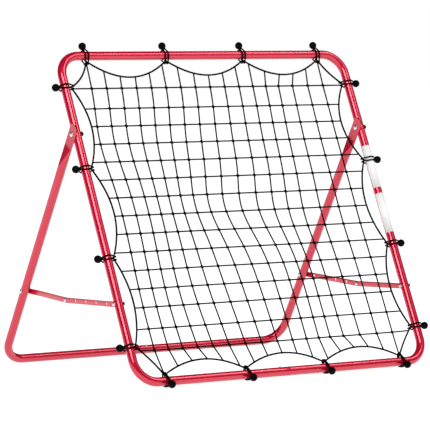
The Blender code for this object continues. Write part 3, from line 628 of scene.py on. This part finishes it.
def nut(use, radius, face_x, place, body, z=0.0, stub=0.0):
    """A lock nut that seats on its left face. A stub makes it a closed one with a shank."""
    corner = radius * NUT_SPREAD
    rise = radius * NUT_RISE
    collar = rise * NUT_COLLAR
    bore = radius if stub else radius + FIT
    bm = bmesh.new()
    body_ring = ring_edges(hexagon(bm, corner))
    circle = bmesh.ops.create_circle(bm, segments=NUT_SIDES, radius=bore, matrix=ACROSS_X)
    bore_ring = ring_edges(circle["verts"])
    close_rings(bm, body_ring, bore_ring)
    top = pull(bm, body_ring, (rise - collar, 0, 0))
    rim = pull(bm, top)
    for vert in verts_of(rim):
        level = Vector((0, vert.co.y, vert.co.z))
        vert.co = Vector((vert.co.x, 0, 0)) + level.normalized() * corner * NUT_CHAMFER
    end_ring = pull(bm, rim, (collar, 0, 0))
    hole_ring = pull(bm, bore_ring, (-stub if stub else rise, 0, 0))
    if stub:
        bmesh.ops.contextual_create(bm, geom=hole_ring)
        bmesh.ops.contextual_create(bm, geom=end_ring)
    else:
        close_rings(bm, end_ring, hole_ring)
    bmesh.ops.recalc_face_normals(bm, faces=bm.faces)
    sharp = [edge for edge in bm.edges if edge.is_manifold and edge.calc_face_angle() > SHARP_ABOVE]
    soften(bm, sharp, radius * NUT_EDGE)
    own = Matrix.Translation((face_x, 0, z))
    piece(bm, f"nut_{use}", place @ own, body, BLACK_STEEL, "black_steel", use)


on_frame, on_stand = (IN_FRAME, "net_frame"), (IN_STAND, "stand")
for end, side in SIDES.items():
    main_x = side * HALF_WIDTH
    leg_x = main_x - LEG_OFFSET
    flat_seat = leg_x - FLAT_THICKNESS / 2 - FIT
    frame_nut = main_x + TUBE_SEAT
    for use, radius, head_x, nut_x, (place, body), height in (
        ("pivot", PIVOT_BOLT_RADIUS, flat_seat, frame_nut, on_frame, PIVOT_HEIGHT),
        ("frame_brace", BRACE_BOLT_RADIUS, main_x - BAR_SEAT, frame_nut, on_frame, BRACE_ON_FRAME),
        ("leg_brace", BRACE_BOLT_RADIUS, leg_x - TUBE_SEAT, leg_x + BAR_SEAT, on_stand, -BRACE_ON_LEG),
    ):
        end_x = nut_x + radius * NUT_RISE + BOLT_END
        bolt(f"{use}_bolt_{end}", radius, head_x, end_x, place, body, z=height)
        nut(f"{use}_nut_{end}", radius, nut_x, place, body, z=height)


# Braces. On each side a flat steel bar with five setting holes and a plain one, sheared with round ends,
# joggled sideways to lie against each other, and coated red like the tubes. A bolt joins them in the middle.
BAR_WIDTH = 0.0155
BAR_STRAIGHT = 0.060
BAR_MID_STRAIGHT = 0.025
BAR_SIDES = 32
BAR_BENDS = 16
FIRST_HOLE = 0.040
HOLE_PITCH = 0.058
HOLE_COUNT = 5
SETTING_HOLE_RADIUS = 0.0040


def bar(name, start, far, mid_x, holes, body):
    """A flat bar along its own Y axis, from its end bolt to its last hole."""
    line = Vector((0, far.y - start.y, far.z - start.z))
    length = line.length
    turn = math.atan2(line.z, line.y)
    place = Matrix.Translation((0, start.y, start.z)) @ Matrix.Rotation(turn, 4, "X")
    across = ACROSS_X @ Matrix.Rotation(math.pi / BAR_SIDES, 4, "Z")
    bm = bmesh.new()
    ring = bmesh.ops.create_circle(
        bm, cap_ends=True, segments=BAR_SIDES, radius=BAR_WIDTH / 2, matrix=across
    )["verts"]
    outer_half = [vert for vert in ring if vert.co.y > 0]
    bmesh.ops.translate(bm, vec=(0, length, 0), verts=outer_half)
    bmesh.ops.translate(bm, vec=(-BAR_THICKNESS / 2, 0, 0), verts=ring)
    made = bmesh.ops.extrude_face_region(bm, geom=bm.faces[:])["geom"]
    raised = [item for item in made if isinstance(item, bmesh.types.BMVert)]
    bmesh.ops.translate(bm, vec=(BAR_THICKNESS, 0, 0), verts=raised)
    bmesh.ops.recalc_face_normals(bm, faces=bm.faces)
    sharp = [edge for edge in bm.edges if edge.calc_face_angle() > SHARP_ABOVE]
    soften(bm, sharp, EDGE_BREAK)
    set_from, set_to = BAR_STRAIGHT, length - BAR_MID_STRAIGHT
    for index in range(BAR_BENDS + 1):
        level = set_from + (set_to - set_from) * index / BAR_BENDS
        bmesh.ops.bisect_plane(
            bm,
            geom=bm.verts[:] + bm.edges[:] + bm.faces[:],
            dist=MERGE_DISTANCE,
            plane_co=(0, level, 0),
            plane_no=(0, 1, 0),
        )
    for vert in bm.verts:
        share = min(1.0, max(0.0, (vert.co.y - set_from) / (set_to - set_from)))
        vert.co.x += start.x + (mid_x - start.x) * share
    made = piece(bm, f"{name}_flat", place, body, RED_COAT, "red_powder_coat", name)
    end_hole = BRACE_BOLT_RADIUS + BOLT_CLEARANCE
    hole = SETTING_HOLE_RADIUS if len(holes) > 1 else end_hole
    from_x, to_x = mid_x - DRILL_REACH, mid_x + DRILL_REACH
    cuts = [through(start.x, 0, BRACE_BOLT_RADIUS)]
    cuts += [(hole, (from_x, level, 0), (to_x, level, 0)) for level in holes]
    drill(made, cuts, place)


for end, side in SIDES.items():
    frame_end = Vector(joints[f"frame_bar_{end}_fold"]["pos_m"])
    leg_end = Vector(joints[f"leg_bar_{end}_fold"]["pos_m"])
    bolt_low, bolt_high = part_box(f"brace_mid_bolt_{end}")
    mid = (bolt_low + bolt_high) / 2
    middle_x = (frame_end.x + leg_end.x) / 2
    lap = (BAR_THICKNESS + FIT) / 2
    setting_holes = [FIRST_HOLE + index * HOLE_PITCH for index in range(HOLE_COUNT)]
    frame_kind, leg_kind = ("holed", "plain") if end == "left" else ("plain", "holed")
    for kind, start, mid_x, body in (
        (frame_kind, frame_end, middle_x - lap, f"frame_bar_{end}"),
        (leg_kind, leg_end, middle_x + lap, f"leg_bar_{end}"),
    ):
        length = math.hypot(mid.y - start.y, mid.z - start.z)
        holes = setting_holes if kind == "holed" else [length]
        bar(f"brace_bar_{kind}_{end}", start, mid, mid_x, holes, body)
    shank = FIT + BAR_THICKNESS
    bolt_x = middle_x - lap - BAR_THICKNESS / 2 - FIT
    nut_x = middle_x + lap + BAR_THICKNESS / 2 + FIT
    here = Matrix.Translation((0, mid.y, mid.z))
    bolt(f"brace_mid_bolt_{end}", BRACE_BOLT_RADIUS, bolt_x, bolt_x + shank, here, f"frame_bar_{end}")
    nut(f"brace_mid_nut_{end}", BRACE_BOLT_RADIUS, nut_x, here, f"leg_bar_{end}", stub=shank)


# Labels. Two bare white vinyl wraps on the right side tube, stuck round most of it so that a strip of red
# shows on the left. They are cut square and lie flat.
LABELS = {"lower": (0.396, 0.5195), "upper": (0.5385, 0.6725)}
LABEL_THICKNESS = 0.00015
LABEL_FROM = math.radians(98)
LABEL_WRAP = math.radians(300)
LABEL_STEPS = 50
VINYL_WALL = LABEL_THICKNESS * 0.8
CLOUD_WIDTH = 0.025
CLOUD_HEIGHT = 0.0002
LABEL_WHITE = "#fdfdfd"
LABEL_SHADE = "#f6f6f5"


def vinyl(name):
    """Cast white vinyl, calendered smooth: a clean, slightly uneven white with a satin shine."""
    surface, shader = new_surface(name, {"Roughness": 0.38})
    noise = {"Scale": 1 / CLOUD_WIDTH, "Detail": 3.0}
    mottled(surface, shader, noise, LABEL_SHADE, LABEL_WHITE, strength=0.08, depth=CLOUD_HEIGHT)
    return surface


WHITE_VINYL = vinyl("white_vinyl")

for use, (bottom, top) in LABELS.items():
    bm = bmesh.new()
    radius = TUBE_RADIUS + LABEL_THICKNESS
    start = Matrix.Rotation(-LABEL_FROM, 3, "Z") @ Vector((0, -radius, 0))
    low = bm.verts.new(start + Vector((0, 0, bottom)))
    high = bm.verts.new(start + Vector((0, 0, top)))
    bmesh.ops.spin(
        bm,
        geom=[low, high, bm.edges.new((low, high))],
        cent=(0, 0, 0),
        axis=(0, 0, 1),
        angle=LABEL_WRAP,
        steps=LABEL_STEPS,
        use_duplicate=False,
    )
    place = IN_FRAME @ Matrix.Translation((HALF_WIDTH, 0, 0))
    label = piece(bm, f"label_{use}", place, "net_frame", WHITE_VINYL, None)
    wall = label.modifiers.new("thickness", "SOLIDIFY")
    wall.thickness = VINYL_WALL
    wall.offset = 0.0


# Net. Square mesh of black twisted twine, knotted at every crossing and lashed to its border cord. It hangs
# slack, so its upright strands sway to the left in the middle, and its outer meshes are pulled taller.
NET_COLUMNS = 17
NET_ROWS = 15
ROWS_PULLED_BELOW = 2
ROWS_PULLED_ABOVE = 1
ROW_PULL = 1.15
BOTTOM_ROW_DROP = 0.0129
TOP_ROW_DROP = 0.0043
NET_STRAND = 0.0042
TWINE_LAY = 0.009
PLACES_PER_MESH = 6
KNOT_SIZE = 0.0052
KNOT_SHAPE = (1.0, 0.85, 0.72)
KNOT_LEAN = math.radians(40)
SCALLOPS_TOP = (0.0505, 0.0465, 0.0475)
SCALLOPS_BOTTOM = (0.037, 0.037, 0.037)
SCALLOPS_LEFT = (0.029, 0.038, 0.035)
SCALLOPS_RIGHT = (0.034, 0.037, 0.044)
CATCH_TOP = TUBE_RADIUS + 0.0036
CATCH_SIDE = TUBE_RADIUS + 0.0062
CATCH_BOTTOM = TUBE_RADIUS + 0.0053
TIES_PER_SIDE = 4
TIE_INSET_X = FRAME_BEND + 0.0235
TIE_INSET_Z = FRAME_BEND + 0.0335
SIDE_TIE_RISES = (0.005, 0.005, 0.013, 0.002)
CORNER_BOWS = {"top right": 0.006, "bottom right": 0.003, "bottom left": 0.004, "top left": 0.011}
SWAYS = (
    (0.040, 0.03, 0.50, 0.22, 0.12, -0.50),
    (0.030, 0.25, 0.33, 0.10, 0.63, 0.05),
    (0.040, -0.17, 0.33, 0.20, 0.31, 0.30),
    (0.025, -0.20, 0.70, 0.38, 0.13, -0.15),
)
# The twine's black, and a paler black painted on the crowns of its strands as a highlight, so that its
# grooves take painted shade.
TWINE = "#060607"
TWINE_CROWN_HIGHLIGHT = "#0b0c0e"
CORD_GROOVE = 0.0004


def laid_cord(name, dark, light, strands, groove, roughness):
    """Twisted or braided thread: dark, soft and fuzzy, with its strands winding round it, a painted
    highlight on their crowns and painted shade in the grooves between them.
    """
    surface, shader = new_surface(name, {"Roughness": roughness, "Specular IOR Level": 0.04})
    wound = add(surface, "ShaderNodeUVMap", {}, uv_map="winding")
    split = add(surface, "ShaderNodeSeparateXYZ", {"Vector": wound.outputs["UV"]})
    along, across = split.outputs["X"], split.outputs["Y"]
    around = add(surface, "ShaderNodeMath", {0: across, 1: float(strands)}, operation="MULTIPLY")
    turn = add(surface, "ShaderNodeMath", {0: along, 1: around.outputs[0]}, operation="ADD")
    angle = add(surface, "ShaderNodeMath", {0: turn.outputs[0], 1: 2 * math.pi}, operation="MULTIPLY")
    wave = add(surface, "ShaderNodeMath", {0: angle.outputs[0]}, operation="SINE")
    swell = {"Value": wave.outputs[0], "From Min": -1.0, "From Max": 1.0}
    height = add(surface, "ShaderNodeMapRange", swell).outputs["Result"]
    # Painted highlight and shade: the colour follows the same wave as the relief, from the dark one in the
    # grooves to the pale one on the crowns.
    shades = {0: height, 6: linear(dark), 7: linear(light)}
    tint = add(surface, "ShaderNodeMix", shades, data_type="RGBA")
    relief = add(surface, "ShaderNodeBump", {"Height": height, "Strength": 0.6, "Distance": groove})
    join(surface, tint.outputs[2], shader, "Base Color")
    join(surface, relief.outputs["Normal"], shader, "Normal")
    return surface


NET_TWINE = laid_cord("twisted_twine", TWINE, TWINE_CROWN_HIGHLIGHT, 3, CORD_GROOVE, 0.75)


def cords(name, routes, radius, lay, surface, slot, *nodes, sides=1, closed=False, ground=None):
    """Round cords along their routes, with a UV map that counts turns of the lay along each one."""
    path = bpy.data.curves.new(name, "CURVE")
    path.dimensions = "3D"
    path.bevel_depth = radius
    path.bevel_resolution = sides
    path.use_fill_caps = not closed
    for route in routes:
        spline = path.splines.new("POLY")
        spline.points.add(len(route) - 1)
        for point, target in zip(spline.points, route):
            point.co = (*target, 1.0)
        spline.use_cyclic_u = closed
    guide = put(name, path)
    graph = bpy.context.evaluated_depsgraph_get()
    mesh = bpy.data.meshes.new_from_object(guide.evaluated_get(graph))
    bpy.data.objects.remove(guide, do_unlink=True)
    length = sum((b - a).length for route in routes for a, b in zip(route, route[1:])) / len(routes)
    winding = mesh.uv_layers[0]
    winding.name = "winding"
    for corner in winding.data:
        corner.uv.x *= round(length / lay)
    mesh.transform(IN_FRAME)
    if ground is not None:
        for vert in mesh.vertices:
            vert.co.z = max(vert.co.z, ground)
    fitted(name, mesh, "net_frame", surface, nodes)


def spread(low, high, count):
    return [low + (high - low) * index / (count - 1) for index in range(count)]


def fall(position, ties, sags):
    """How far the border cord falls away from the line through its ties."""
    for first, second, sag in zip(ties, ties[1:], sags):
        if first <= position <= second:
            share = (position - first) / (second - first)
            return sag * 4 * share * (1 - share)
    return 0.0


tie_x = spread(TIE_INSET_X - HALF_WIDTH, HALF_WIDTH - TIE_INSET_X, TIES_PER_SIDE)
even_tie_z = spread(TIE_INSET_Z, FRAME_HEIGHT - TIE_INSET_Z, TIES_PER_SIDE)
tie_z = [even + rise for even, rise in zip(even_tie_z, SIDE_TIE_RISES)]
column_x = spread(tie_x[0], tie_x[-1], NET_COLUMNS)
even_rows = NET_ROWS - 1 - ROWS_PULLED_BELOW - ROWS_PULLED_ABOVE
row_steps = [ROW_PULL] * ROWS_PULLED_BELOW + [1.0] * even_rows + [ROW_PULL] * ROWS_PULLED_ABOVE
bottom_row, top_row = tie_z[0] - BOTTOM_ROW_DROP, tie_z[-1] - TOP_ROW_DROP
row_unit = (top_row - bottom_row) / sum(row_steps)
row_z = [bottom_row + row_unit * sum(row_steps[:count]) for count in range(NET_ROWS)]


def top_edge(x):
    return Vector((x, 0, FRAME_HEIGHT - CATCH_TOP - fall(x, tie_x, SCALLOPS_TOP)))


def bottom_edge(x):
    return Vector((x, 0, CATCH_BOTTOM + fall(x, tie_x, SCALLOPS_BOTTOM)))


def left_edge(z):
    return Vector((CATCH_SIDE + fall(z, tie_z, SCALLOPS_LEFT) - HALF_WIDTH, 0, z))


def right_edge(z):
    return Vector((HALF_WIDTH - CATCH_SIDE - fall(z, tie_z, SCALLOPS_RIGHT), 0, z))


def bowed(start, end, bow, share):
    """A place on the cord across a corner, which is bowed a little towards the middle of the net."""
    middle = Vector((0, 0, FRAME_HEIGHT / 2))
    inwards = (middle - (start + end) / 2).normalized()
    return start.lerp(end, share) + inwards * bow * 4 * share * (1 - share)


def row_end(side_edge, z, tie_at, bow):
    """Where a row meets the border: on the side, or on the corner cord below the lowest tie."""
    if z >= tie_z[0]:
        return side_edge(z)
    start, end = side_edge(tie_z[0]), bottom_edge(tie_at)
    return bowed(start, end, bow, (start.z - z) / (start.z - end.z))


def hung(column, z):
    """Where a point of the even mesh hangs in the slack net."""
    x = column
    for far, across, up, half_width, half_height, lean in SWAYS:
        rise = z - up
        aside = (column - across - lean * rise) / half_width
        x -= far * math.exp(-(aside**2) - (rise / half_height) ** 2)
    return Vector((x, 0, z))


def closely(stops, count):
    """The same stops with more places between them: so many from each stop to the next, with both."""
    places = []
    for first, second in zip(stops, stops[1:]):
        places += spread(first, second, count)[:-1]
    return [*places, stops[-1]]


up_the_net, across_the_net = closely(row_z, PLACES_PER_MESH), closely(column_x, PLACES_PER_MESH)
strands = []
for x in column_x:
    strands.append([bottom_edge(x), *[hung(x, z) for z in up_the_net], top_edge(x)])
for z in row_z:
    left_end = row_end(left_edge, z, tie_x[0], CORNER_BOWS["bottom left"])
    right_end = row_end(right_edge, z, tie_x[-1], CORNER_BOWS["bottom right"])
    strands.append([left_end, *[hung(x, z) for x in across_the_net], right_end])
cords("net_strands", strands, NET_STRAND / 2, TWINE_LAY, NET_TWINE, "black_twine", "net")

bm = bmesh.new()
for x in column_x:
    for z in row_z:
        odd_place = (round(x * 1000) + round(z * 1000)) % 2
        lean = KNOT_LEAN if odd_place else -KNOT_LEAN
        shape = Matrix.Rotation(lean, 4, "Y") @ Matrix.Diagonal((*KNOT_SHAPE, 1))
        bmesh.ops.create_cube(bm, size=KNOT_SIZE, matrix=Matrix.Translation(hung(x, z)) @ shape)
bmesh.ops.subdivide_edges(bm, edges=bm.edges[:], cuts=1, smooth=1.0, use_grid_fill=True)
piece(bm, "net_knots", IN_FRAME, "net_frame", NET_TWINE, "black_twine")


# Border cord. A thicker braided cord, closed in a ring, that runs through the outer meshes of the net and is
# caught at each tie. Between the ties it falls away from the tubes in scallops.
BORDER_THICK = 0.0054
PLACES_PER_SCALLOP = 16
BRAID_LAY = 0.012
# The cord's black, and a paler black painted on the crowns of its braid as a highlight, so that its grooves
# take painted shade.
CORD_BLACK = "#040405"
CORD_CROWN_HIGHLIGHT = "#0c0d0e"
BORDER_BRAID = laid_cord("braided_border_cord", CORD_BLACK, CORD_CROWN_HIGHLIGHT, 4, CORD_GROOVE, 0.55)

along_x, along_z = closely(tie_x, PLACES_PER_SCALLOP), closely(tie_z, PLACES_PER_SCALLOP)
edges = [
    [top_edge(x) for x in along_x],
    [right_edge(z) for z in reversed(along_z)],
    [bottom_edge(x) for x in reversed(along_x)],
    [left_edge(z) for z in along_z],
]
border = []
for edge, following, bow in zip(edges, [*edges[1:], edges[0]], CORNER_BOWS.values()):
    shares = spread(0, 1, PLACES_PER_SCALLOP)[1:-1]
    border += [*edge, *[bowed(edge[-1], following[0], bow, share) for share in shares]]
cords(
    "net_border_cord",
    [border],
    BORDER_THICK / 2,
    BRAID_LAY,
    BORDER_BRAID,
    "black_twine",
    sides=2,
    closed=True,
)


# Bungee ties. A loop of elastic cord in a braided sleeve goes round the tube and the border cord and hooks
# behind the neck of a moulded ball. The loop's ends come out of the ball's bore and are knotted there.
BALL_RADIUS = 0.011
BALL_GAP = 0.0068
BALL_REACH = TUBE_RADIUS + BALL_GAP + BALL_RADIUS
NECK_RADIUS = 0.0042
NECK_LENGTH = 0.0045
BORE_RADIUS = 0.0030
BORE_DEPTH = 0.0035
BALL_FILLET = 0.0006
NECK_ROUND = 0.0005
LIP = 0.0004
BALL_RINGS = 14
BALL_SIDES = 28
END_KNOT_RADIUS = BORE_RADIUS * 0.8
TIE_CORD_RADIUS = 0.0022
TIE_SPREAD = 0.0052
BOTTOM_TIE_SPREAD = 0.0030
HOOK_SHARE = 0.87
STEEPEST_HOOK = 1.0
NECK_SPREAD = 0.0030
THROAT_SHARE = 0.15
HOOK_STEPS = 7
ROUTE_STEPS = 2
CORD_LEAVES_BALL = math.radians(54)
CORD_LEAVES_TUBE = math.radians(126)
WRAP_STEP = math.radians(9)
ROUNDING = 1e-6
WRAP_RADIUS = TUBE_RADIUS + TIE_CORD_RADIUS
SLEEVE_LAY = 0.006
BALL_BLACK = "#020202"
BALL_GREEN = "#050706"
SPARK_GRAIN = 0.0008
SPARK_DEPTH = 0.0001
SLEEVE_GROOVE = 0.0003
# The sleeve takes the border cord's blacks: a painted highlight on the crowns of its braid and painted shade
# in its grooves.
TIE_SLEEVE = laid_cord("elastic_sleeve", CORD_BLACK, CORD_CROWN_HIGHLIGHT, 4, SLEEVE_GROOVE, 0.6)


def moulded_nylon(name):
    """Moulded nylon: black with a faint green cast, a spark-eroded grain, drawn coarse enough to show, and
    a soft broad shine.
    """
    surface, shader = new_surface(name, {"Roughness": 0.45, "Specular IOR Level": 0.05})
    noise = {"Scale": 1 / SPARK_GRAIN, "Detail": 2.0}
    mottled(surface, shader, noise, BALL_BLACK, BALL_GREEN, strength=0.15, depth=SPARK_DEPTH)
    return surface


BALL_NYLON = moulded_nylon("moulded_nylon")


def arc(start, end):
    """Points of a cord that hugs the tube, as angles from outwards towards the front."""
    steps = math.ceil(abs(end - start) / WRAP_STEP - ROUNDING)
    radius = WRAP_RADIUS / math.cos((end - start) / steps / 2)
    angles = spread(start, end, steps + 1)
    return [Vector((radius * math.cos(angle), -radius * math.sin(angle))) for angle in angles]


def rounded(points, steps):
    """A smooth line through given points."""
    line = []
    for index in range(len(points) - 1):
        before = points[max(0, index - 1)]
        first, second = points[index], points[index + 1]
        after = points[min(len(points) - 1, index + 2)]
        for step in range(steps):
            share = step / steps
            swing = (second - before) * share + (2 * before - 5 * first + 4 * second - after) * share**2
            line.append(first + (swing + (3 * first - before - 3 * second + after) * share**3) / 2)
    return [*line, points[-1]]


def ball_profile():
    """The ball from its neck round to the bore on its far side, along X and out from it along Z."""
    joint_angle = math.asin((NECK_RADIUS + BALL_FILLET) / BALL_RADIUS)
    rim_angle = math.pi - math.asin((BORE_RADIUS + BALL_FILLET) / BALL_RADIUS)
    neck_x = -BALL_RADIUS - NECK_LENGTH
    profile = [(neck_x, 0, 0), (neck_x, 0, NECK_RADIUS - NECK_ROUND), (neck_x + NECK_ROUND, 0, NECK_RADIUS)]
    profile.append((-BALL_RADIUS * math.cos(joint_angle) - LIP, 0, NECK_RADIUS))
    for angle in spread(joint_angle, rim_angle, BALL_RINGS):
        profile.append((-BALL_RADIUS * math.cos(angle), 0, BALL_RADIUS * math.sin(angle)))
    rim_x = math.sqrt(BALL_RADIUS**2 - BORE_RADIUS**2)
    profile += [(rim_x - LIP, 0, BORE_RADIUS), (rim_x - BORE_DEPTH, 0, BORE_RADIUS)]
    return [*profile, (rim_x - BORE_DEPTH, 0, 0)]


def border_falls(point, outward, along):
    """How steeply the border falls away on each side of a tie."""
    index = border.index(point)
    falls = {}
    for neighbour in (border[index - 1], border[(index + 1) % len(border)]):
        step = neighbour - point
        fall_away = -(step @ outward) / abs(step @ along)
        falls[1 if step @ along > 0 else -1] = min(STEEPEST_HOOK, fall_away)
    return falls


def tie(use, centre, outward, catch, ball_angle, apart=TIE_SPREAD, ground=None):
    """One ball and its cord, which runs from the ball round the border and back to the ball."""
    rearward = Vector((0, 1, 0))
    along = outward.cross(rearward)
    caught = centre - outward * catch
    falls = border_falls(min(border, key=lambda point: (point - caught).length), outward, along)
    hook_radius = BORDER_THICK / 2 + TIE_CORD_RADIUS
    front = arc(ball_angle + CORD_LEAVES_BALL, CORD_LEAVES_TUBE)
    rear = arc(-CORD_LEAVES_TUBE, ball_angle - CORD_LEAVES_BALL)
    ball_at = BALL_REACH * Vector((math.cos(ball_angle), -math.sin(ball_angle)))
    neck_gap = BALL_RADIUS + 2 * FIT + TIE_CORD_RADIUS
    neck = ball_at + (rear[-1] - ball_at).normalized() * neck_gap
    throat = neck.lerp(rear[-1], THROAT_SHARE)

    def half_loop(turn):
        first = Vector((*front[0], turn * apart))
        ball_centre = Vector((*ball_at, 0))
        leave = ball_centre + (first - ball_centre).normalized() * (BALL_RADIUS - 2 * FIT)
        hook = [leave, *[Vector((*point, turn * apart)) for point in front]]
        near = -catch - falls[turn] * apart * HOOK_SHARE
        for degrees in spread(-90, 90, HOOK_STEPS):
            angle = math.radians(degrees)
            level = near - hook_radius * math.hypot(1, falls[turn]) * math.cos(angle)
            bulge = hook_radius * math.sin(angle)
            hook.append(Vector((level, bulge, turn * apart * HOOK_SHARE)))
        hook += [Vector((*point, turn * apart)) for point in rear]
        return [*hook, Vector((*throat, turn * NECK_SPREAD))]

    def in_frame(point):
        return centre + point.x * outward + point.y * rearward + point.z * along

    route = [*half_loop(1), Vector((*neck, 0)), *reversed(half_loop(-1))]
    cords(
        f"bungee_cord_{use}",
        [rounded([in_frame(point) for point in route], ROUTE_STEPS)],
        TIE_CORD_RADIUS,
        SLEEVE_LAY,
        TIE_SLEEVE,
        "black_elastic",
        f"tie_cord_{use}",
        sides=2,
        ground=ground,
    )
    away = math.cos(ball_angle) * outward - math.sin(ball_angle) * rearward
    turned = Matrix((away, along, away.cross(along))).transposed().to_4x4()
    place = IN_FRAME @ Matrix.Translation(in_frame(Vector((*ball_at, 0)))) @ turned
    bm = bmesh.new()
    spin_profile(bm, ball_profile(), (1, 0, 0), BALL_SIDES)
    in_bore = Matrix.Translation((BALL_RADIUS - BORE_DEPTH, 0, 0))
    bmesh.ops.create_icosphere(bm, subdivisions=2, radius=END_KNOT_RADIUS, matrix=in_bore)
    node = f"tie_ball_{use}"
    piece(bm, f"bungee_ball_{use}", place, "net_frame", BALL_NYLON, "black_plastic", node)


ball_low, ball_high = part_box("tie_ball_bottom_1")
floor_ball = IN_FRAME.inverted() @ ((ball_low + ball_high) / 2)
floor_ball_angle = math.atan2(-floor_ball.y, -floor_ball.z)
UP, RIGHT = Vector((0, 0, 1)), Vector((1, 0, 0))
for number, (x, z) in enumerate(zip(tie_x, tie_z), 1):
    tie(f"top_{number}", Vector((x, 0, FRAME_HEIGHT)), UP, CATCH_TOP, 0.0)
    foot = Vector((x, 0, 0))
    tie(f"bottom_{number}", foot, -UP, CATCH_BOTTOM, floor_ball_angle, BOTTOM_TIE_SPREAD, ground=0.0)
    tie(f"left_{number}", Vector((-HALF_WIDTH, 0, z)), -RIGHT, CATCH_SIDE, 0.0)
    tie(f"right_{number}", Vector((HALF_WIDTH, 0, z)), RIGHT, CATCH_SIDE, 0.0)


# Studio. A white floor that takes a faint shadow and runs back to a white sweep, a dim room above it, a
# strong soft lamp in front on the left, a wide one above on the right with a weak one below it, and a long
# lens far away on the left.
FLOOR_SIZE = 60.0
FLOOR_DROP = 0.0004
FLOOR_GREY = "#c8c8c8"
FLOOR_LIFT = 0.80
SURROUND = 1.3
SURROUND_TOP = 0.42
SURROUND_HEIGHT = 0.6
SWEEP_HEIGHT = 0.04
ROOM_HEIGHT = 0.10
ROOM_LEVEL = 0.02
WHITE = (1, 1, 1, 1)

bm = bmesh.new()
below = Matrix.Translation((0, 0, -FLOOR_DROP))
bmesh.ops.create_grid(bm, x_segments=1, y_segments=1, size=FLOOR_SIZE / 2, matrix=below)
floor = put("studio_floor", to_mesh("studio_floor", bm))
floor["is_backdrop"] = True

matt = {"Roughness": 0.9, "Specular IOR Level": 0.0, "Emission Color": WHITE}
paper, paper_shader = new_surface("studio_paper", {"Base Color": linear(FLOOR_GREY), **matt})


def seen_directly(surface):
    """1 for rays from the camera and for those that it sees in gloss or through glass, otherwise 0."""
    ray = add(surface, "ShaderNodeLightPath", {})
    rays = {0: ray.outputs["Is Camera Ray"], 1: ray.outputs["Is Glossy Ray"]}
    gloss = add(surface, "ShaderNodeMath", rays, operation="MAXIMUM")
    rays = {0: gloss.outputs[0], 1: ray.outputs["Is Transmission Ray"]}
    clear = add(surface, "ShaderNodeMath", rays, operation="MAXIMUM")
    return clear.outputs[0]


lift = add(paper, "ShaderNodeMath", {0: seen_directly(paper), 1: FLOOR_LIFT}, operation="MULTIPLY")
join(paper, lift.outputs[0], paper_shader, "Emission Strength")
floor.data.materials.append(paper)

world = bpy.data.worlds.new("studio_surround")
bpy.context.scene.world = world
world.use_nodes = True
direction = add(world, "ShaderNodeTexCoord", {})
split = add(world, "ShaderNodeSeparateXYZ", {"Vector": direction.outputs["Generated"]})
sweep = {"Value": split.outputs["Z"], "From Min": SWEEP_HEIGHT, "From Max": ROOM_HEIGHT}
mirrored = add(world, "ShaderNodeMapRange", sweep | {"To Min": 1.0, "To Max": ROOM_LEVEL})
sky = {"Value": split.outputs["Z"], "From Min": 0.0, "From Max": SURROUND_HEIGHT}
around = add(world, "ShaderNodeMapRange", sky | {"To Min": SURROUND, "To Max": SURROUND_TOP})
looks = {0: seen_directly(world), 2: around.outputs["Result"], 3: mirrored.outputs["Result"]}
room = add(world, "ShaderNodeMix", looks, data_type="FLOAT")
camera_ray = add(world, "ShaderNodeLightPath", {}).outputs["Is Camera Ray"]
strength = add(world, "ShaderNodeMath", {0: room.outputs[0], 1: camera_ray}, operation="MAXIMUM")
background = world.node_tree.nodes["Background"]
background.inputs["Color"].default_value = WHITE
join(world, strength.outputs[0], background, "Strength")


def softbox(name, size, place, aim, watts):
    """A large soft lamp at a place, aimed at a point."""
    data = bpy.data.lights.new(name, "AREA")
    data.shape = "RECTANGLE"
    data.size, data.size_y = size
    data.energy = watts
    lamp = put(name, data)
    lamp.location = place
    lamp.rotation_euler = (Vector(aim) - Vector(place)).to_track_quat("-Z", "Y").to_euler()


softbox("key_softbox", size=(2.3, 2.0), place=(-2.6, -2.7, 3.3), aim=(0, 0, 0.5), watts=104)
softbox("top_softbox", size=(3.0, 1.1), place=(2.4, -1.85, 4.1), aim=(0, 0, 0.7), watts=40)
softbox("fill_softbox", size=(2.6, 1.6), place=(2.5, -2.3, 3.0), aim=(0, 0, 0.5), watts=9)

CAMERA_PLACE = (-4.3171, -6.5432, 0.9339)
CAMERA_HEADING = -0.58203
CAMERA_TILT = 0.06354
CAMERA_ROLL = -0.00289
LENS_MM = 227.8
SENSOR_MM = 36.0
NEAREST = 0.1
FARTHEST = 200.0
camera_data = bpy.data.cameras.new("camera")
camera_data.lens = LENS_MM
camera_data.sensor_width = SENSOR_MM
camera_data.clip_start = NEAREST
camera_data.clip_end = FARTHEST
camera = put("camera", camera_data)
camera.matrix_world = (
    Matrix.Translation(CAMERA_PLACE)
    @ Matrix.Rotation(CAMERA_HEADING, 4, "Z")
    @ Matrix.Rotation(math.pi / 2 - CAMERA_TILT, 4, "X")
    @ Matrix.Rotation(CAMERA_ROLL, 4, "Z")
)
bpy.context.scene.camera = camera
bpy.context.scene.view_settings.view_transform = "Standard"

low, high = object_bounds()
